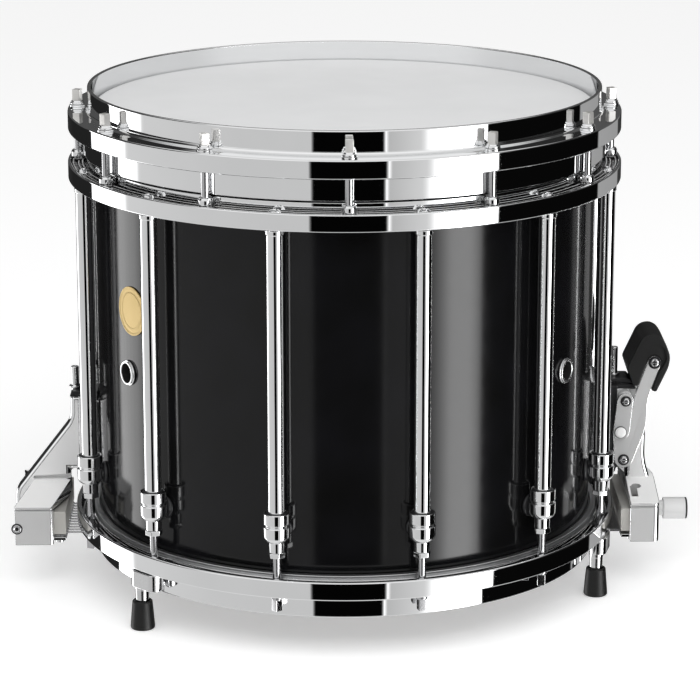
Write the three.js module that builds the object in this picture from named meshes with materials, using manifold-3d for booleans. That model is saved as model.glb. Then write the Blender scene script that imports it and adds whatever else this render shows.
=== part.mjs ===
// A marching snare drum on three feet. The shell floats inside a frame of a die-cast top hoop,
// an upper ring, twelve tubes with lugs and a bottom hoop. A throw-off with a lever is on the
// right and a butt plate on the left, and twelve snare strands run between them under the drum.
// Millimetres, +Z up, front towards -Y, origin on the floor under the middle of the whole width,
// which the tension knob puts a little to the right of the shell's own axis.
import * as THREE from 'three';
import { mergeGeometries, mergeVertices } from 'three/addons/utils/BufferGeometryUtils.js';
import Module from 'manifold-3d';

const wasm = await Module();
wasm.setup();

// Driving dimensions of the drum. A level is a height above the bottom rim, a reach is a distance
// outwards from the shell's face, and a stand is a distance outwards from the hoops' bands.
const rimHeight = 332;
const footDrop = 27;
const shellRadius = 176;
const shellWall = 6.5;
const edgeRound = 2;
const headRecess = 13.5;
const filmThickness = 0.5;
const seatGap = 0.3;
const runGap = 0.4;
const cutOverrun = 2;
const tensionPoints = 12;
const drumSides = 48;
const smallSides = 8;
const barrelSides = 8;
const keySides = 4;
const nutSides = 6;
const strandSides = 5;
const arcSteps = 4;

// Hoops and upper ring
const collarWall = 2.7;
const collarFillet = 1.9;
const rimChamfer = 0.8;
const hoopBandWall = 3.2;
const bandHeight = 13;
const bandFillet = 1;
const flangeDrop = 16.5;
const flangeThickness = 4;
const seatThickness = 5.2;
const skirtWall = 1.8;
const topSkirtDepth = 24;
const bottomSkirtDepth = 11;
const fleshWall = 4.2;
const fleshHeight = 8;
const fleshPlay = 0.5;
const rodPlay = 0.8;
const bandPlay = 0.5;
const ringDrop = 52.2;
const ringStep = 0.5;
const ringBandHeight = 12;
const ringBandWall = 2.2;
const ringWebDrop = 2;
const ringWebThickness = 5;
const ringShellPlay = 2.3;
const ringUpstandWall = 3;
const ringUpstandHeight = 7.2;
const ringChamfer = 0.9;

// Tension rods, inserts, tubes and lugs
const rodRadius = 2.8;
const rodFlangeRadius = 5;
const rodFlangeThickness = 2.3;
const footRodFlangeRadius = 4.6;
const keyWidth = 6.4;
const keyHeight = 8;
const washerRadius = 5.5;
const washerThickness = 1.6;
const insertRadius = 5;
const insertRise = 6;
const insertWasherRadius = 5.8;
const insertWasherThickness = 1.2;
const insertNutDrop = 4.5;
const tubeRadius = 5.75;
const tubeNeckRadius = 4.2;
const ringScrewRadius = 4.5;
const ringScrewHead = 3.2;
const ringScrewShank = 2.2;
const barrelTop = 75;
const barrelHeight = 20;
const barrelRadius = 9.2;
const barrelGroove = 0.8;
const barrelGrooveHeight = 1.4;
const socketDepth = 7.6;
const neckRadius = 5.4;
const neckHeight = 7.5;
const postRadius = 4.2;
const postBaseRadius = 8;
const postBaseThickness = 2.6;
const locknutAcross = 10.5;
const locknutHeight = 3.7;

// Trim on the shell
const ventAngleDeg = 58;
const ventDrop = 184.5;
const ventRadius = 8;
const ventBore = 5;
const ventNeck = 6;
const ventLip = 1.2;
const badgeAngleDeg = 56.2;
const badgeRise = 44.7;
const badgeRadius = 17;
const badgeThickness = 0.8;

// Feet
const footAngleDeg = -45;
const footCount = 3;
const footOffset = 13;
const tipTopRadius = 6.9;
const tipBottomRadius = 8.65;
const tipHeight = 20.5;
const legTopRadius = 5;
const legBottomRadius = 4;
const legSink = 14;
const bracketHeight = 12;
const bracketRadius = 6.4;
const bracketShelf = 3;
const bracketShift = 1;

// Snare strands and their gates in the bottom hoop
const strandRadius = 0.8;
const strandCount = 12;
const strandPitch = 6;
const strandBarWidth = 7;
const gateMargin = 5;

// Strainer sizes that the throw-off and the butt plate share
const slidePlateHalfWidth = 17;
const lipSide = 3.7;
const lipWall = 2.4;
const baseReach = 6;
const slidePlateReach = 9;
const columnReach = 9.4;
const lipReach = 12;
const heightScrewReach = 17.4;
const capThickness = 4;
const heightScrewRadius = 2.8;
const heightScrewCollar = 4.5;
const heightScrewCollarHeight = 1.6;
const heightTravel = 2;
const heightScrewRise = 16;
const boxWall = 3;
const boxBottom = 6.5;
const boxHeight = 28.5;
const boxRoofRise = 8;
const gussetHalfWidth = 5.5;
const clampMargin = 5.5;
const clampPlay = 0.5;
const clampHeadroom = 1.6;
const clampPlateThickness = 2.4;
const clampScrewRadius = 3;
const clampScrewHead = 2.2;
const clampScrewInset = 3.5;

// Throw-off
const slideBottom = 49;
const slideHeight = 70;
const bridgeThickness = 6;
const channelHalfWidth = 10.6;
const channelWall = 3.2;
const channelReach = 19;
const throwCapReach = 26.2;
const tongue = 1.6;
const tongueWidth = 3;
const pivotReach = 24.2;
const pivotRise = 10.7;
const rivetReach = 21.3;
const rivetLevelShare = 0.481;
const linkScrewReach = 24.6;
const linkScrewDrop = 14.8;
const carriageTravel = 10;
const pivotLoose = 3.8;
const earRadius = 6.4;
const linkRadius = 5.8;
const linkThickness = 2.5;
const bossRadius = 4.6;
const leverWall = 3.2;
const leverBendReach = 33.5;
const leverBendDrop = 34;
const leverWaistReach = 35.4;
const leverWaistDrop = 13;
const gripScrewReach = 44.8;
const gripScrewRise = 13;
const leverTipRadius = 4.8;
const pinRadius = 2;
const pinHeadRadius = 3.5;
const pinHeadHeight = 2;
const gripLip = 1.2;
const gussetStand = 13.5;
const gussetEdgeStand = 23.3;
const gussetDrop = 34;
const gussetWaist = 56;
const gussetElbowStand = 26.3;
const gussetElbowLevel = 45;
const gussetFootStand = 33.3;
const gussetFootLevel = 25;
const throwBoxStand = 9.3;
const throwBoxDepth = 21;
const throwClampStand = 3.3;
const throwClampDepth = 15;
const columnInset = 2.5;
const knobRadius = 7.9;
const knobNeck = 5.5;
const knobStand = 37.9;
const knobLength = 17.4;
const knobLevel = 17.3;
const knobShaft = 3;
const knobTravel = 2;

// Butt plate
const buttTop = 106.5;
const buttBottom = 51;
const buttColumnReach = 21;
const buttShoulderLevel = 89;
const buttHipStand = 44.5;
const buttHipLevel = 35.5;
const buttFootStand = 44.3;
const buttBoxStand = 4.3;
const buttBoxDepth = 27;
const buttBoxSkew = 11;
const buttClampStand = 5.7;
const buttClampDepth = 9.4;

// Levels and radii worked out from the driving dimensions
const topHeadLevel = rimHeight - headRecess;
const bottomHeadLevel = headRecess;
const shellTop = topHeadLevel - filmThickness - seatGap;
const shellBottom = bottomHeadLevel + filmThickness + seatGap;
const filmInner = shellRadius + seatGap;
const filmOuter = filmInner + filmThickness;
const collarInner = filmOuter + seatGap;
const collarOuter = collarInner + collarWall;
const fleshOuter = collarInner + fleshWall;
const skirtInner = fleshOuter + fleshPlay;
const skirtOuter = skirtInner + skirtWall;
const rodCircle = skirtOuter + rodPlay + rodRadius;
const hoopRadius = rodCircle + rodRadius + bandPlay + hoopBandWall;
const ringRadius = hoopRadius + ringStep;
const topFlange = rimHeight - flangeDrop;
const bottomFlange = flangeDrop;
const ringTop = rimHeight - ringDrop;
const ringWebTop = ringTop - ringWebDrop;
const ringWebBottom = ringWebTop - ringWebThickness;
const barrelBottom = barrelTop - barrelHeight;
const neckBottom = barrelBottom - neckHeight;
const socketFloor = barrelTop - socketDepth;
const stepAngle = (2 * Math.PI) / tensionPoints;
const postLevel = (socketFloor + barrelBottom) / 2;
const ventLevel = rimHeight - ventDrop;

// Strainer places worked out from the driving dimensions
const strandLevel = bottomHeadLevel - seatGap - strandRadius;
const strandsHalfWidth = (strandCount * strandPitch) / 2;
const gateHalfWidth = strandsHalfWidth + gateMargin;
const clampHalfLength = strandsHalfWidth + clampMargin;
const clampScrewAcross = clampHalfLength - clampScrewInset;
const boxHalfLength = clampHalfLength + clampPlay + boxWall;
const boxTop = boxBottom + boxHeight;
const clampTop = boxTop - boxWall - clampHeadroom;
const clampUnder = strandLevel + strandRadius + seatGap;
const baseHalfWidth = slidePlateHalfWidth + seatGap + lipSide;
const baseOut = shellRadius + baseReach;
const slidePlateOut = shellRadius + slidePlateReach;
const columnIn = shellRadius + columnReach;
const lipOut = shellRadius + lipReach;
const heightScrewOut = shellRadius + heightScrewReach;
const slideTop = slideBottom + slideHeight;
const pivotLevel = slideBottom + pivotRise;
const linkScrewLevel = slideTop - linkScrewDrop;
const rivetLevel = pivotLevel + (linkScrewLevel - pivotLevel) * rivetLevelShare;
const leverBendLevel = slideTop - leverBendDrop;
const leverWaistLevel = slideTop - leverWaistDrop;
const gripScrewLevel = slideTop + gripScrewRise;
const gussetTop = slideTop - gussetDrop;
const columnBottom = slideBottom + columnInset;
const channelOut = shellRadius + channelReach;
const throwCapOut = shellRadius + throwCapReach;
const pivotOut = shellRadius + pivotReach;
const rivetOut = shellRadius + rivetReach;
const linkScrewOut = shellRadius + linkScrewReach;
const leverBendOut = shellRadius + leverBendReach;
const leverWaistOut = shellRadius + leverWaistReach;
const gripScrewOut = shellRadius + gripScrewReach;
const leverNear = channelHalfWidth + channelWall + 2 * runGap;
const leverFar = leverNear + leverWall;
const gripHalfWidth = leverFar + gripLip;
const gussetIn = hoopRadius + gussetStand;
const gussetOut = hoopRadius + gussetEdgeStand;
const gussetElbowOut = hoopRadius + gussetElbowStand;
const gussetFootOut = hoopRadius + gussetFootStand;
const throwBoxIn = hoopRadius + throwBoxStand;
const throwBoxOut = throwBoxIn + throwBoxDepth;
const throwClampIn = hoopRadius + throwClampStand;
const throwClampOut = throwClampIn + throwClampDepth;
const knobOut = hoopRadius + knobStand;
const buttColumnOut = shellRadius + buttColumnReach;
const buttHipOut = hoopRadius + buttHipStand;
const buttFootOut = hoopRadius + buttFootStand;
const buttBoxIn = hoopRadius + buttBoxStand;
const buttBoxOut = buttBoxIn + buttBoxDepth;
const buttClampIn = hoopRadius + buttClampStand;
const buttClampOut = buttClampIn + buttClampDepth;

// Finishes
const finishes = {
  chrome: { color: 0xd9dbde, roughness: 0.06, metalness: 1 },
  satinAluminium: { color: 0xc4c6c8, roughness: 0.35, metalness: 1 },
  polishedCasting: { color: 0xd2d3d4, roughness: 0.22, metalness: 1 },
  blackShell: { color: 0x0c0c0e, roughness: 0.12, metalness: 0 },
  blackCoating: { color: 0x17181a, roughness: 0.4, metalness: 0.2 },
  rubber: { color: 0x161616, roughness: 0.7, metalness: 0 },
  whiteFilm: { color: 0xdfe1e2, roughness: 0.4, metalness: 0 },
  clearFilm: { color: 0xe6e6e2, roughness: 0.3, metalness: 0 },
  gold: { color: 0xd8b25a, roughness: 0.3, metalness: 1 },
  steelStrand: { color: 0xb9bcc0, roughness: 0.3, metalness: 1 },
};

// Geometry with its position alone and shared corners merged
function bare(geometry) {
  const copy = geometry.index ? geometry.toNonIndexed() : geometry.clone();
  copy.deleteAttribute('normal');
  copy.deleteAttribute('uv');
  return mergeVertices(copy);
}

// Solid for joining and cutting; triangles that close up on a pole or a seam are left out
function solidOf(geometry) {
  const merged = bare(geometry);
  const source = merged.index.array;
  const kept = [];
  for (let i = 0; i < source.length; i += 3) {
    const [a, b, c] = [source[i], source[i + 1], source[i + 2]];
    if (a !== b && b !== c && c !== a) kept.push(a, b, c);
  }
  return new wasm.Manifold(new wasm.Mesh({
    numProp: 3,
    vertProperties: new Float32Array(merged.attributes.position.array),
    triVerts: new Uint32Array(kept),
  }));
}

function geometryOf(solid) {
  const mesh = solid.getMesh();
  const geometry = new THREE.BufferGeometry();
  const corners = new Float32Array(mesh.vertProperties);
  geometry.setAttribute('position', new THREE.BufferAttribute(corners, 3));
  geometry.setIndex(new THREE.BufferAttribute(new Uint32Array(mesh.triVerts), 1));
  return geometry;
}

function joined(...geometries) {
  return geometryOf(geometries.map(solidOf).reduce((sum, solid) => sum.add(solid)));
}

function cut(body, ...tools) {
  return geometryOf(tools.map(solidOf).reduce((rest, solid) => rest.subtract(solid), solidOf(body)));
}

function common(one, other) {
  return geometryOf(solidOf(one).intersect(solidOf(other)));
}

// A turned solid about the Z axis from [radius, level] points, listed with the material on the left
function turned(profile, sides, closes = true) {
  const points = profile.map(([radius, level]) => new THREE.Vector2(radius, level));
  if (closes) points.push(points[0].clone());
  return new THREE.LatheGeometry(points, sides).rotateX(Math.PI / 2);
}

function bar(radius, low, high, sides = smallSides, topRadius = radius) {
  const geometry = new THREE.CylinderGeometry(topRadius, radius, high - low, sides);
  return geometry.rotateX(Math.PI / 2).translate(0, 0, (low + high) / 2);
}

// A bar along X
function axle(radius, from, to, across, level, sides = smallSides) {
  return bar(radius, from, to, sides).rotateY(Math.PI / 2).translate(0, across, level);
}

// A bar along Y
function pin(radius, from, to, out, level, sides = smallSides) {
  return bar(radius, from, to, sides).rotateX(-Math.PI / 2).translate(out, 0, level);
}

function block(x0, x1, y0, y1, z0, z1) {
  const geometry = new THREE.BoxGeometry(x1 - x0, y1 - y0, z1 - z0);
  return geometry.translate((x0 + x1) / 2, (y0 + y1) / 2, (z0 + z1) / 2);
}

// A plate standing in the XZ plane: [out, level] points pushed from one Y to the other
function slab(points, from, to, holes = []) {
  const shape = new THREE.Shape(points.map(([out, level]) => new THREE.Vector2(out, level)));
  for (const [out, level, radius] of holes) {
    const path = new THREE.Path();
    path.absarc(out, level, radius, 0, 2 * Math.PI, true);
    shape.holes.push(path);
  }
  const settings = { depth: to - from, bevelEnabled: false, curveSegments: smallSides };
  return new THREE.ExtrudeGeometry(shape, settings).rotateX(Math.PI / 2).translate(0, to, 0);
}

// Outline round two discs of a strap, with arcs at its ends
function strapOutline([x0, z0, r0], [x1, z1, r1]) {
  const along = Math.atan2(z1 - z0, x1 - x0);
  const spread = Math.acos((r0 - r1) / Math.hypot(x1 - x0, z1 - z0));
  const points = [];
  for (let i = 0; i <= arcSteps; i += 1) {
    const angle = along - spread + (2 * spread * i) / arcSteps;
    points.push([x1 + r1 * Math.cos(angle), z1 + r1 * Math.sin(angle)]);
  }
  for (let i = 0; i <= arcSteps; i += 1) {
    const angle = along + spread + ((2 * Math.PI - 2 * spread) * i) / arcSteps;
    points.push([x0 + r0 * Math.cos(angle), z0 + r0 * Math.sin(angle)]);
  }
  return points;
}

// Moves a geometry drawn on the axis, with its front towards -Y, out to a circle at an angle
function around(geometry, angle, radius = 0) {
  return geometry.clone().translate(0, -radius, 0).rotateZ(angle);
}

// Copies of one geometry at every tension point, as one group of separate solids
function ringOf(geometry, first, radius) {
  const copies = [];
  for (let i = 0; i < tensionPoints; i += 1) {
    copies.push(around(bare(geometry), first + i * stepAngle, radius));
  }
  return mergeGeometries(copies);
}

const drum = new THREE.Group();

function place(parent, name, finish, geometry, turn = 0) {
  const mesh = new THREE.Mesh(geometry, new THREE.MeshStandardMaterial(finishes[finish]));
  mesh.name = name;
  mesh.rotation.z = turn;
  parent.add(mesh);
  return mesh;
}

// Shell with its bearing edges, bored for the two vents
function shellGeometry() {
  const inner = shellRadius - shellWall;
  const peak = shellRadius - edgeRound;
  const bevel = peak - inner;
  const body = turned([
    [inner, shellTop - bevel], [inner, shellBottom + bevel], [peak, shellBottom],
    [shellRadius, shellBottom + edgeRound], [shellRadius, shellTop - edgeRound], [peak, shellTop],
  ], drumSides);
  const reach = shellWall + 2 * cutOverrun;
  const bore = bar(ventNeck + runGap, inner - cutOverrun, inner - cutOverrun + reach, drumSides / 4)
    .rotateX(Math.PI / 2).translate(0, 0, ventLevel);
  const tools = [-1, 1].map((side) => around(bore, THREE.MathUtils.degToRad(ventAngleDeg) * side));
  return cut(body, ...tools);
}

// Drum head: a film that folds over the bearing edge and runs down inside its flesh hoop
function headGeometry(level, towards) {
  const corner = edgeRound + seatGap;
  const foot = headRecess - flangeDrop - seatThickness - fleshHeight;
  const fold = level - towards * corner - towards * filmThickness;
  const end = level + towards * (foot + filmThickness);
  const profile = [
    [0, level], [0, level - towards * filmThickness],
    [shellRadius - edgeRound, level - towards * filmThickness],
    [filmInner, fold], [filmInner, end], [filmOuter, end], [filmOuter, fold + towards * filmThickness / 2],
    [shellRadius - edgeRound + filmThickness / 2, level],
  ];
  return turned(towards > 0 ? profile : profile.reverse(), drumSides);
}

function fleshHoopGeometry(seat, towards) {
  const near = seat - towards * seatGap;
  const far = near - towards * fleshHeight;
  const [low, high] = [Math.min(near, far), Math.max(near, far)];
  return turned([
    [collarInner, high], [collarInner, low], [fleshOuter, low], [fleshOuter, high],
  ], drumSides);
}

// Die-cast hoop: collar, flange with the rod holes, outer band and a skirt behind the flesh hoop
function hoopProfile(rim, towards, skirtDepth) {
  const flange = rim - towards * flangeDrop;
  const seat = flange - towards * seatThickness;
  const under = flange - towards * flangeThickness;
  const bandIn = hoopRadius - hoopBandWall;
  const profile = [
    [collarInner, rim - towards * rimChamfer], [collarInner, seat], [skirtInner, seat],
    [skirtInner, seat - towards * (skirtDepth - seatThickness)],
    [skirtOuter, seat - towards * (skirtDepth - seatThickness)], [skirtOuter, under],
    [bandIn, under], [bandIn, flange - towards * bandHeight], [hoopRadius, flange - towards * bandHeight],
    [hoopRadius, flange - towards * bandFillet], [hoopRadius - bandFillet, flange],
    [collarOuter + collarFillet, flange], [collarOuter, flange + towards * collarFillet],
    [collarOuter, rim - towards * rimChamfer], [collarOuter - rimChamfer, rim],
    [collarInner + rimChamfer, rim],
  ];
  return towards > 0 ? profile : profile.reverse();
}

function hoopGeometry(rim, towards, skirtDepth, firstHole) {
  const flange = rim - towards * flangeDrop;
  const under = flange - towards * flangeThickness;
  const [low, high] = [Math.min(flange, under), Math.max(flange, under)];
  const hole = bar(rodRadius + runGap, low - cutOverrun, high + cutOverrun);
  return cut(turned(hoopProfile(rim, towards, skirtDepth), drumSides), ringOf(hole, firstHole, rodCircle));
}

// The bottom hoop has two gates in its collar where the strands pass
function bottomHoopGeometry() {
  const hoop = hoopGeometry(0, -1, bottomSkirtDepth, stepAngle / 2);
  const reach = collarOuter + collarFillet + cutOverrun;
  const gates = [-1, 1].map((side) => {
    const [near, far] = side > 0 ? [shellRadius / 2, reach] : [-reach, -shellRadius / 2];
    return block(near, far, -gateHalfWidth, gateHalfWidth, -cutOverrun, bottomFlange);
  });
  return cut(hoop, ...gates);
}

// Upper ring that stands on the tubes and takes the inserts of the top rods
function upperRingGeometry() {
  const inner = shellRadius + ringShellPlay;
  const upstandOut = inner + ringUpstandWall;
  const bandIn = ringRadius - ringBandWall;
  const body = turned([
    [inner, ringWebTop + ringUpstandHeight], [inner, ringWebBottom], [bandIn, ringWebBottom],
    [bandIn, ringTop - ringBandHeight], [ringRadius, ringTop - ringBandHeight],
    [ringRadius, ringTop - ringChamfer], [ringRadius - ringChamfer, ringTop], [bandIn, ringTop],
    [bandIn, ringWebTop], [upstandOut + ringChamfer, ringWebTop],
    [upstandOut, ringWebTop + ringChamfer], [upstandOut, ringWebTop + ringUpstandHeight],
  ], drumSides);
  const low = ringWebBottom - cutOverrun;
  const high = ringWebTop + cutOverrun;
  const screwHoles = ringOf(bar(ringScrewShank + runGap, low, high), stepAngle / 2, rodCircle);
  const seat = ringWebTop + insertWasherThickness;
  const insert = joined(
    bar(insertRadius, ringWebBottom - insertNutDrop, seat + insertRise),
    bar(insertWasherRadius, ringWebTop - seatGap, seat),
  );
  const boreLow = ringWebBottom - insertNutDrop - cutOverrun;
  const bore = bar(rodRadius + runGap, boreLow, seat + insertRise + cutOverrun);
  return cut(joined(body, ringOf(insert, 0, rodCircle)), screwHoles, ringOf(bore, 0, rodCircle));
}

// Top tension rod: square key head, flange and washer, and a long plain shank
function topRodGeometry() {
  const seat = topFlange + seatGap;
  const collar = seat + washerThickness;
  const neck = collar + rodFlangeThickness;
  const shaft = bar(rodRadius, ringWebBottom - insertNutDrop - rodRadius, collar);
  const washer = bar(washerRadius, seat, collar);
  const flange = bar(rodFlangeRadius, collar - seatGap, neck);
  const key = bar(keyWidth * Math.SQRT1_2, neck - seatGap, neck + keyHeight, keySides)
    .rotateZ(Math.PI / keySides);
  return joined(shaft, washer, flange, key);
}

// Column at each lug: the domed screw through the ring, the tube with its collar, the lug on its
// post, the locknut, and the bottom rod with its key head below the hoop
function columnGeometry(drop) {
  const screwSeat = ringWebTop + seatGap;
  const tubeTop = ringWebBottom - seatGap;
  const bandFoot = ringTop - ringBandHeight - seatGap;
  const rodSeat = bottomFlange - seatGap - drop;
  const rodNeck = rodSeat - rodFlangeThickness;
  const grooveLevel = barrelBottom + barrelHeight / 2 - barrelGrooveHeight;
  const nutRadius = locknutAcross / Math.sqrt(3);
  const turnedPart = turned([
    [0, screwSeat + ringScrewHead], [0, rodNeck], [footRodFlangeRadius, rodNeck],
    [footRodFlangeRadius, rodSeat],
    [rodRadius, rodSeat], [rodRadius, neckBottom - locknutHeight / 2], [neckRadius, neckBottom],
    [neckRadius, barrelBottom], [barrelRadius, barrelBottom],
    [barrelRadius, grooveLevel], [barrelRadius - barrelGroove, grooveLevel + barrelGrooveHeight],
    [barrelRadius - barrelGroove, barrelTop], [tubeRadius, barrelTop],
    [tubeRadius, bandFoot], [tubeNeckRadius, bandFoot], [tubeNeckRadius, tubeTop],
    [ringScrewShank, tubeTop], [ringScrewShank, screwSeat], [ringScrewRadius, screwSeat],
    [ringScrewRadius, screwSeat + ringScrewHead / 3], [ringScrewRadius / 2, screwSeat + ringScrewHead],
  ], barrelSides);
  const nut = bar(nutRadius, neckBottom - locknutHeight, neckBottom - seatGap, nutSides);
  const key = bar(keyWidth * Math.SQRT1_2, rodNeck - keyHeight, rodNeck + seatGap, keySides)
    .rotateZ(Math.PI / keySides);
  const inward = rodCircle - shellRadius - seatGap;
  const stem = (radius, from, to) =>
    bar(radius, from, to, nutSides).rotateX(-Math.PI / 2).translate(0, 0, postLevel);
  const post = stem(postRadius, 0, inward);
  const foot = stem(postBaseRadius, inward - postBaseThickness, inward);
  return joined(turnedPart, nut, key, post, foot);
}

// Vent grommet, drawn along +Z with its outer lip at the shell's face, then laid on its side
function grommetGeometry() {
  const face = shellRadius + seatGap;
  const back = (shellRadius - shellWall) * Math.cos(Math.PI / drumSides) - seatGap;
  return turned([
    [ventBore, face + ventLip], [ventBore, back - ventLip], [ventRadius, back - ventLip],
    [ventRadius, back], [ventNeck, back], [ventNeck, face], [ventRadius, face], [ventRadius, face + ventLip],
  ], drumSides / 4).rotateX(Math.PI / 2);
}

function badgeGeometry() {
  const sheet = turned([
    [shellRadius + seatGap, badgeRadius], [shellRadius + seatGap, -badgeRadius],
    [shellRadius + seatGap + badgeThickness, -badgeRadius],
    [shellRadius + seatGap + badgeThickness, badgeRadius],
  ], drumSides);
  const disc = bar(badgeRadius, shellRadius / 2, shellRadius + badgeRadius, drumSides / 2)
    .rotateX(Math.PI / 2);
  return common(sheet, around(disc, -THREE.MathUtils.degToRad(badgeAngleDeg)));
}

// Foot bracket: a rounded block on the bottom rod's flange with a leg beside it
function bracketGeometry() {
  const high = bottomFlange - seatGap;
  const low = high - bracketHeight;
  const shelf = high - bracketShelf;
  const outline = strapOutline([0, -bracketShift, bracketRadius],
    [-footOffset, -bracketShift, bracketRadius]);
  const shape = new THREE.Shape(outline.map(([x, y]) => new THREE.Vector2(x, y)));
  const body = new THREE.ExtrudeGeometry(shape, { depth: bracketHeight, bevelEnabled: false })
    .translate(0, 0, low);
  const leg = bar(legBottomRadius, tipHeight - legSink - footDrop, low + seatGap, smallSides, legTopRadius)
    .translate(-footOffset, 0, 0);
  const pocket = bar(footRodFlangeRadius + seatGap, low - cutOverrun, shelf);
  const hole = bar(rodRadius + runGap, shelf - cutOverrun, high + cutOverrun);
  return cut(joined(body, leg), pocket, hole);
}

function tipGeometry() {
  const bore = legTopRadius + seatGap;
  const floor = tipHeight - legSink - seatGap;
  return turned([
    [0, floor], [0, 0], [tipBottomRadius, 0], [tipTopRadius, tipHeight], [bore, tipHeight], [bore, floor],
  ], drumSides / 4);
}

// Strainer base: a casting seated on the shell, with two lips that hold the sliding plate
function strainerBaseGeometry(low, high) {
  const body = block(shellRadius / 2, baseOut, -baseHalfWidth, baseHalfWidth, low, high);
  const wall = slidePlateHalfWidth + seatGap;
  const parts = [body];
  for (const side of [-1, 1]) {
    const [near, far] = side > 0 ? [wall, baseHalfWidth] : [-baseHalfWidth, -wall];
    const inward = side > 0 ? [wall - lipWall, baseHalfWidth] : [-baseHalfWidth, lipWall - wall];
    parts.push(block(baseOut - seatGap, lipOut, near, far, low, high));
    parts.push(block(slidePlateOut + seatGap, lipOut, ...inward, low, high));
  }
  const drumRoom = bar(shellRadius + seatGap, low - cutOverrun, high + cutOverrun, drumSides);
  return cut(joined(...parts), drumRoom);
}

// Cap on the base that carries the height screw
function capGeometry(low, out) {
  const back = shellRadius + 2 * seatGap;
  const high = low + capThickness;
  const chamfer = capThickness / 2;
  const profile = [[back, low], [out, low], [out, high - chamfer], [out - chamfer, high], [back, high]];
  const body = slab(profile, -slidePlateHalfWidth, slidePlateHalfWidth);
  return cut(body, bar(heightScrewRadius + runGap, low - cutOverrun, high + cutOverrun)
    .translate(heightScrewOut, 0, 0));
}

function heightScrewGeometry(capTop, tip, head) {
  const seat = capTop + seatGap;
  const parts = joined(
    bar(heightScrewRadius, tip, head),
    bar(heightScrewCollar, seat, seat + heightScrewCollarHeight),
  );
  return parts.translate(heightScrewOut, 0, 0);
}

function heightScrewHole(tip, high) {
  return bar(heightScrewRadius + seatGap, tip - heightTravel - seatGap, high + cutOverrun)
    .translate(heightScrewOut, 0, 0);
}

// Snare clamp: a long block, and under the strands a plate with a screw at each end
function clampBlockGeometry(from, to) {
  const depth = (clampTop - clampUnder) / 2;
  const holes = [-1, 1].map((side) =>
    bar(pinRadius + seatGap, clampUnder - cutOverrun, clampUnder + depth)
      .translate((from + to) / 2, side * clampScrewAcross, 0));
  return cut(block(from, to, -clampHalfLength, clampHalfLength, clampUnder, clampTop), ...holes);
}

function clampPlateGeometry(from, to) {
  const high = strandLevel - strandRadius - seatGap;
  const low = high - clampPlateThickness;
  const tip = clampUnder + (clampTop - clampUnder) / 2 - seatGap;
  const screws = [-1, 1].map((side) => joined(
    bar(pinRadius, low, tip),
    bar(clampScrewRadius, low - clampScrewHead, low + seatGap),
  ).translate((from + to) / 2, side * clampScrewAcross, 0));
  return joined(block(from, to, -clampHalfLength, clampHalfLength, low, high), ...screws);
}

// Roof outline of a snare box seen along the drum's radius: it slopes down to both ends
function roofTool(from, to) {
  const tools = [-1, 1].map((side) => {
    const shape = new THREE.Shape([
      new THREE.Vector2(side * gussetHalfWidth, boxTop + boxRoofRise),
      new THREE.Vector2(side * (boxHalfLength + cutOverrun), boxTop),
      new THREE.Vector2(side * (boxHalfLength + cutOverrun), gussetTop),
      new THREE.Vector2(side * gussetHalfWidth, gussetTop),
    ]);
    const settings = { depth: to - from + 2 * cutOverrun, bevelEnabled: false };
    return new THREE.ExtrudeGeometry(shape, settings).rotateX(Math.PI / 2).rotateZ(Math.PI / 2)
      .translate(from - cutOverrun, 0, 0);
  });
  return tools;
}

// Throw-off slide: a channel on the base that the height screw moves, with ears for the lever
function throwSlideGeometry() {
  const wallOut = channelHalfWidth + channelWall + runGap;
  const wallIn = channelHalfWidth + runGap;
  const plate = block(baseOut + seatGap, slidePlateOut, -slidePlateHalfWidth, slidePlateHalfWidth,
    slideBottom, slideTop);
  const bridge = block(baseOut + seatGap, channelOut + earRadius, -wallOut, wallOut,
    slideTop - bridgeThickness, slideTop);
  const parts = [plate, bridge];
  const grooves = [];
  for (const side of [-1, 1]) {
    const [from, to] = side > 0 ? [wallIn, wallOut] : [-wallOut, -wallIn];
    parts.push(block(slidePlateOut - seatGap, channelOut, from, to, slideBottom, slideTop - seatGap));
    const ear = strapOutline([channelOut - earRadius, pivotLevel, earRadius],
      [pivotOut, pivotLevel, earRadius]);
    parts.push(slab(ear, from, to));
    const groove = side > 0
      ? [wallIn - cutOverrun, wallIn + tongue] : [-wallIn - tongue, cutOverrun - wallIn];
    grooves.push(block(channelOut - tongueWidth - 2 * runGap - tongue, channelOut - tongue,
      ...groove, slideBottom - cutOverrun, slideTop - bridgeThickness));
  }
  const pivotHole = pin(pinRadius + seatGap, -baseHalfWidth, baseHalfWidth, pivotOut, pivotLevel);
  const screwHole = bar(heightScrewRadius + seatGap, slideTop - bridgeThickness - cutOverrun,
    slideTop + cutOverrun).translate(heightScrewOut, 0, 0);
  return cut(joined(...parts), ...grooves, pivotHole, screwHole);
}

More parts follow.
